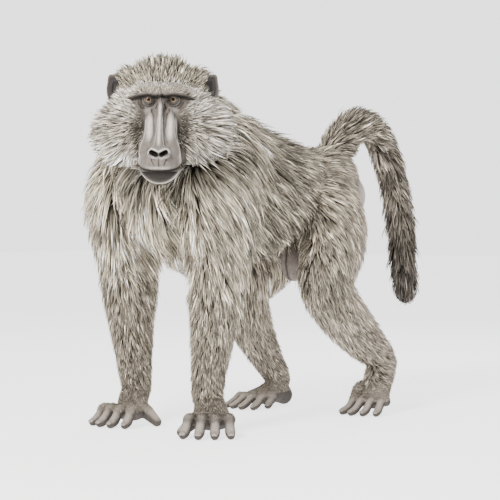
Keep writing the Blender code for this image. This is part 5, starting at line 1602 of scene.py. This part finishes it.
bake_place = unwrapped(places)
hair = marked_material(
    "hair",
    roughness=0.60,
    specular=0.08,
    grain=1800.0,
    grain_depth=0.0002,
    fold=700.0,
    fold_depth=0.0001,
    mottle=40.0,
)
COAT_SLOTS = ("coat", "mane", "mane", "mane", "coat", "coat", "coat", "face_and_ruff")
MOST_TRIANGLES = 190000
for line, (name, slot) in enumerate(zip(PARTS, COAT_SLOTS)):
    for label, stations, each in (("long", 4, 16), ("short", 3, 10)):
        here = (part == line) & ((depth > LONG_COAT) == (label == "long"))
        chosen = np.flatnonzero(here)
        chosen = chosen[np.argsort(places[chosen, 2] + 0.31 * places[chosen, 0])]
        lots = max(1, math.ceil(len(chosen) * each / MOST_TRIANGLES))
        for lot, some in enumerate(np.array_split(chosen, lots)):
            if len(some) < 3:
                continue
            piece = hair_mesh("hair_" + name + "_" + label + "_" + str(lot + 1), some, stations)
            piece.data.materials.append(hair)
            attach(piece, "root")

# The floor and backdrop: one pale sheet that glows a little, as an evenly lit studio sweep does, under
# a white sky. A broad soft light comes from the upper left as in the drawing, a weak one from the
# right and one from behind. The camera is at the drawing's place, almost level with the eyes.
FLOOR_HALF = 14.0
FLOOR_GREY = (0.50, 0.50, 0.50, 1)
FLOOR_GLOW = 2.20
WHITE = (1.0, 1.0, 1.0, 1)
floor_corners = [(x * FLOOR_HALF, y * FLOOR_HALF, 0) for x, y in ((-1, -1), (1, -1), (1, 1), (-1, 1))]
floor_mesh = bpy.data.meshes.new("floor")
floor_mesh.from_pydata(floor_corners, [], [(0, 1, 2, 3)])
floor = bpy.data.objects.new("floor", floor_mesh)
bpy.context.scene.collection.objects.link(floor)
paper, paper_tree, paper_shader = new_material("pale_floor")
paper_place = paper_tree.nodes.new("ShaderNodeTexCoord").outputs["Object"]
paper_noise = node(paper_tree, "ShaderNodeTexNoise", Vector=paper_place, Scale=60.0, Detail=3.0)
add_bump(paper_tree, paper_shader, paper_noise.outputs["Fac"], 0.0004)
paper_shader.inputs["Base Color"].default_value = FLOOR_GREY
paper_shader.inputs["Roughness"].default_value = 0.9
paper_shader.inputs["Emission Color"].default_value = WHITE
paper_shader.inputs["Emission Strength"].default_value = FLOOR_GLOW
floor.data.materials.append(paper)

VIEW_TURN = math.radians(40)
RIGHT = np.array((math.cos(VIEW_TURN), math.sin(VIEW_TURN), 0.0))
AWAY = np.array((-math.sin(VIEW_TURN), math.cos(VIEW_TURN), 0.0))
VIEW_FALL = 38 / 1816
PITCH = math.atan(VIEW_FALL)
CAMERA_RIGHT = 0.0235
CAMERA_NEAR = 4.43
MIDDLE_HEIGHT = 0.5
SENSOR = 36.0
PICTURE_PIXELS = 500
FOCAL_PIXELS = 1834
aim_way = AWAY * math.cos(PITCH) - UP * math.sin(PITCH)
camera_up = np.cross(RIGHT, aim_way)
camera_place = CAMERA_RIGHT * RIGHT - CAMERA_NEAR * AWAY + UP * MIDDLE_HEIGHT + SHIFT
camera_turn = Matrix(np.stack([RIGHT, camera_up, -aim_way], axis=1).tolist()).to_4x4()
camera = bpy.data.objects.new("camera", bpy.data.cameras.new("camera"))
camera.data.sensor_width = SENSOR
camera.data.lens = SENSOR * FOCAL_PIXELS / PICTURE_PIXELS
camera.matrix_world = Matrix.Translation(camera_place) @ camera_turn
bpy.context.scene.collection.objects.link(camera)
bpy.context.scene.camera = camera


def soft_light(name, right, near, high, size, power, colour):
    """A square area light to the camera's right, nearer and higher than the animal, aimed at its chest."""
    light = bpy.data.objects.new(name, bpy.data.lights.new(name, "AREA"))
    light.data.size = size
    light.data.energy = power
    light.data.color = colour
    place = Vector(RIGHT * right - AWAY * near + UP * high + SHIFT)
    target = Vector(UP * MIDDLE_HEIGHT + SHIFT)
    turn = (target - place).to_track_quat("-Z", "Y").to_matrix().to_4x4()
    light.matrix_world = Matrix.Translation(place) @ turn
    bpy.context.scene.collection.objects.link(light)


soft_light("key", right=-1.5, near=3.0, high=2.6, size=1.0, power=350.0, colour=(1.0, 0.98, 0.95))
soft_light("fill", right=2.4, near=2.4, high=1.0, size=2.0, power=60.0, colour=(0.96, 0.98, 1.0))
soft_light("back", right=0.8, near=-2.4, high=2.4, size=1.6, power=75.0, colour=(1.0, 1.0, 1.0))
# The sky lights the animal softly, and is brighter where the camera sees it.
SKY_LIGHT = 0.66
SKY_SEEN = 3.0
world = bpy.data.worlds.new("studio")
bpy.context.scene.world = world
world.use_nodes = True
sky = world.node_tree
soft_white = sky.nodes["Background"]
soft_white.inputs["Color"].default_value = WHITE
soft_white.inputs["Strength"].default_value = SKY_LIGHT
bright_white = sky.nodes.new("ShaderNodeBackground")
bright_white.inputs["Strength"].default_value = SKY_SEEN
seen = sky.nodes.new("ShaderNodeLightPath").outputs["Is Camera Ray"]
both = sky.nodes.new("ShaderNodeMixShader")
sky.links.new(seen, both.inputs["Fac"])
sky.links.new(soft_white.outputs["Background"], both.inputs[1])
sky.links.new(bright_white.outputs["Background"], both.inputs[2])
sky.links.new(both.outputs["Shader"], sky.nodes["World Output"].inputs["Surface"])
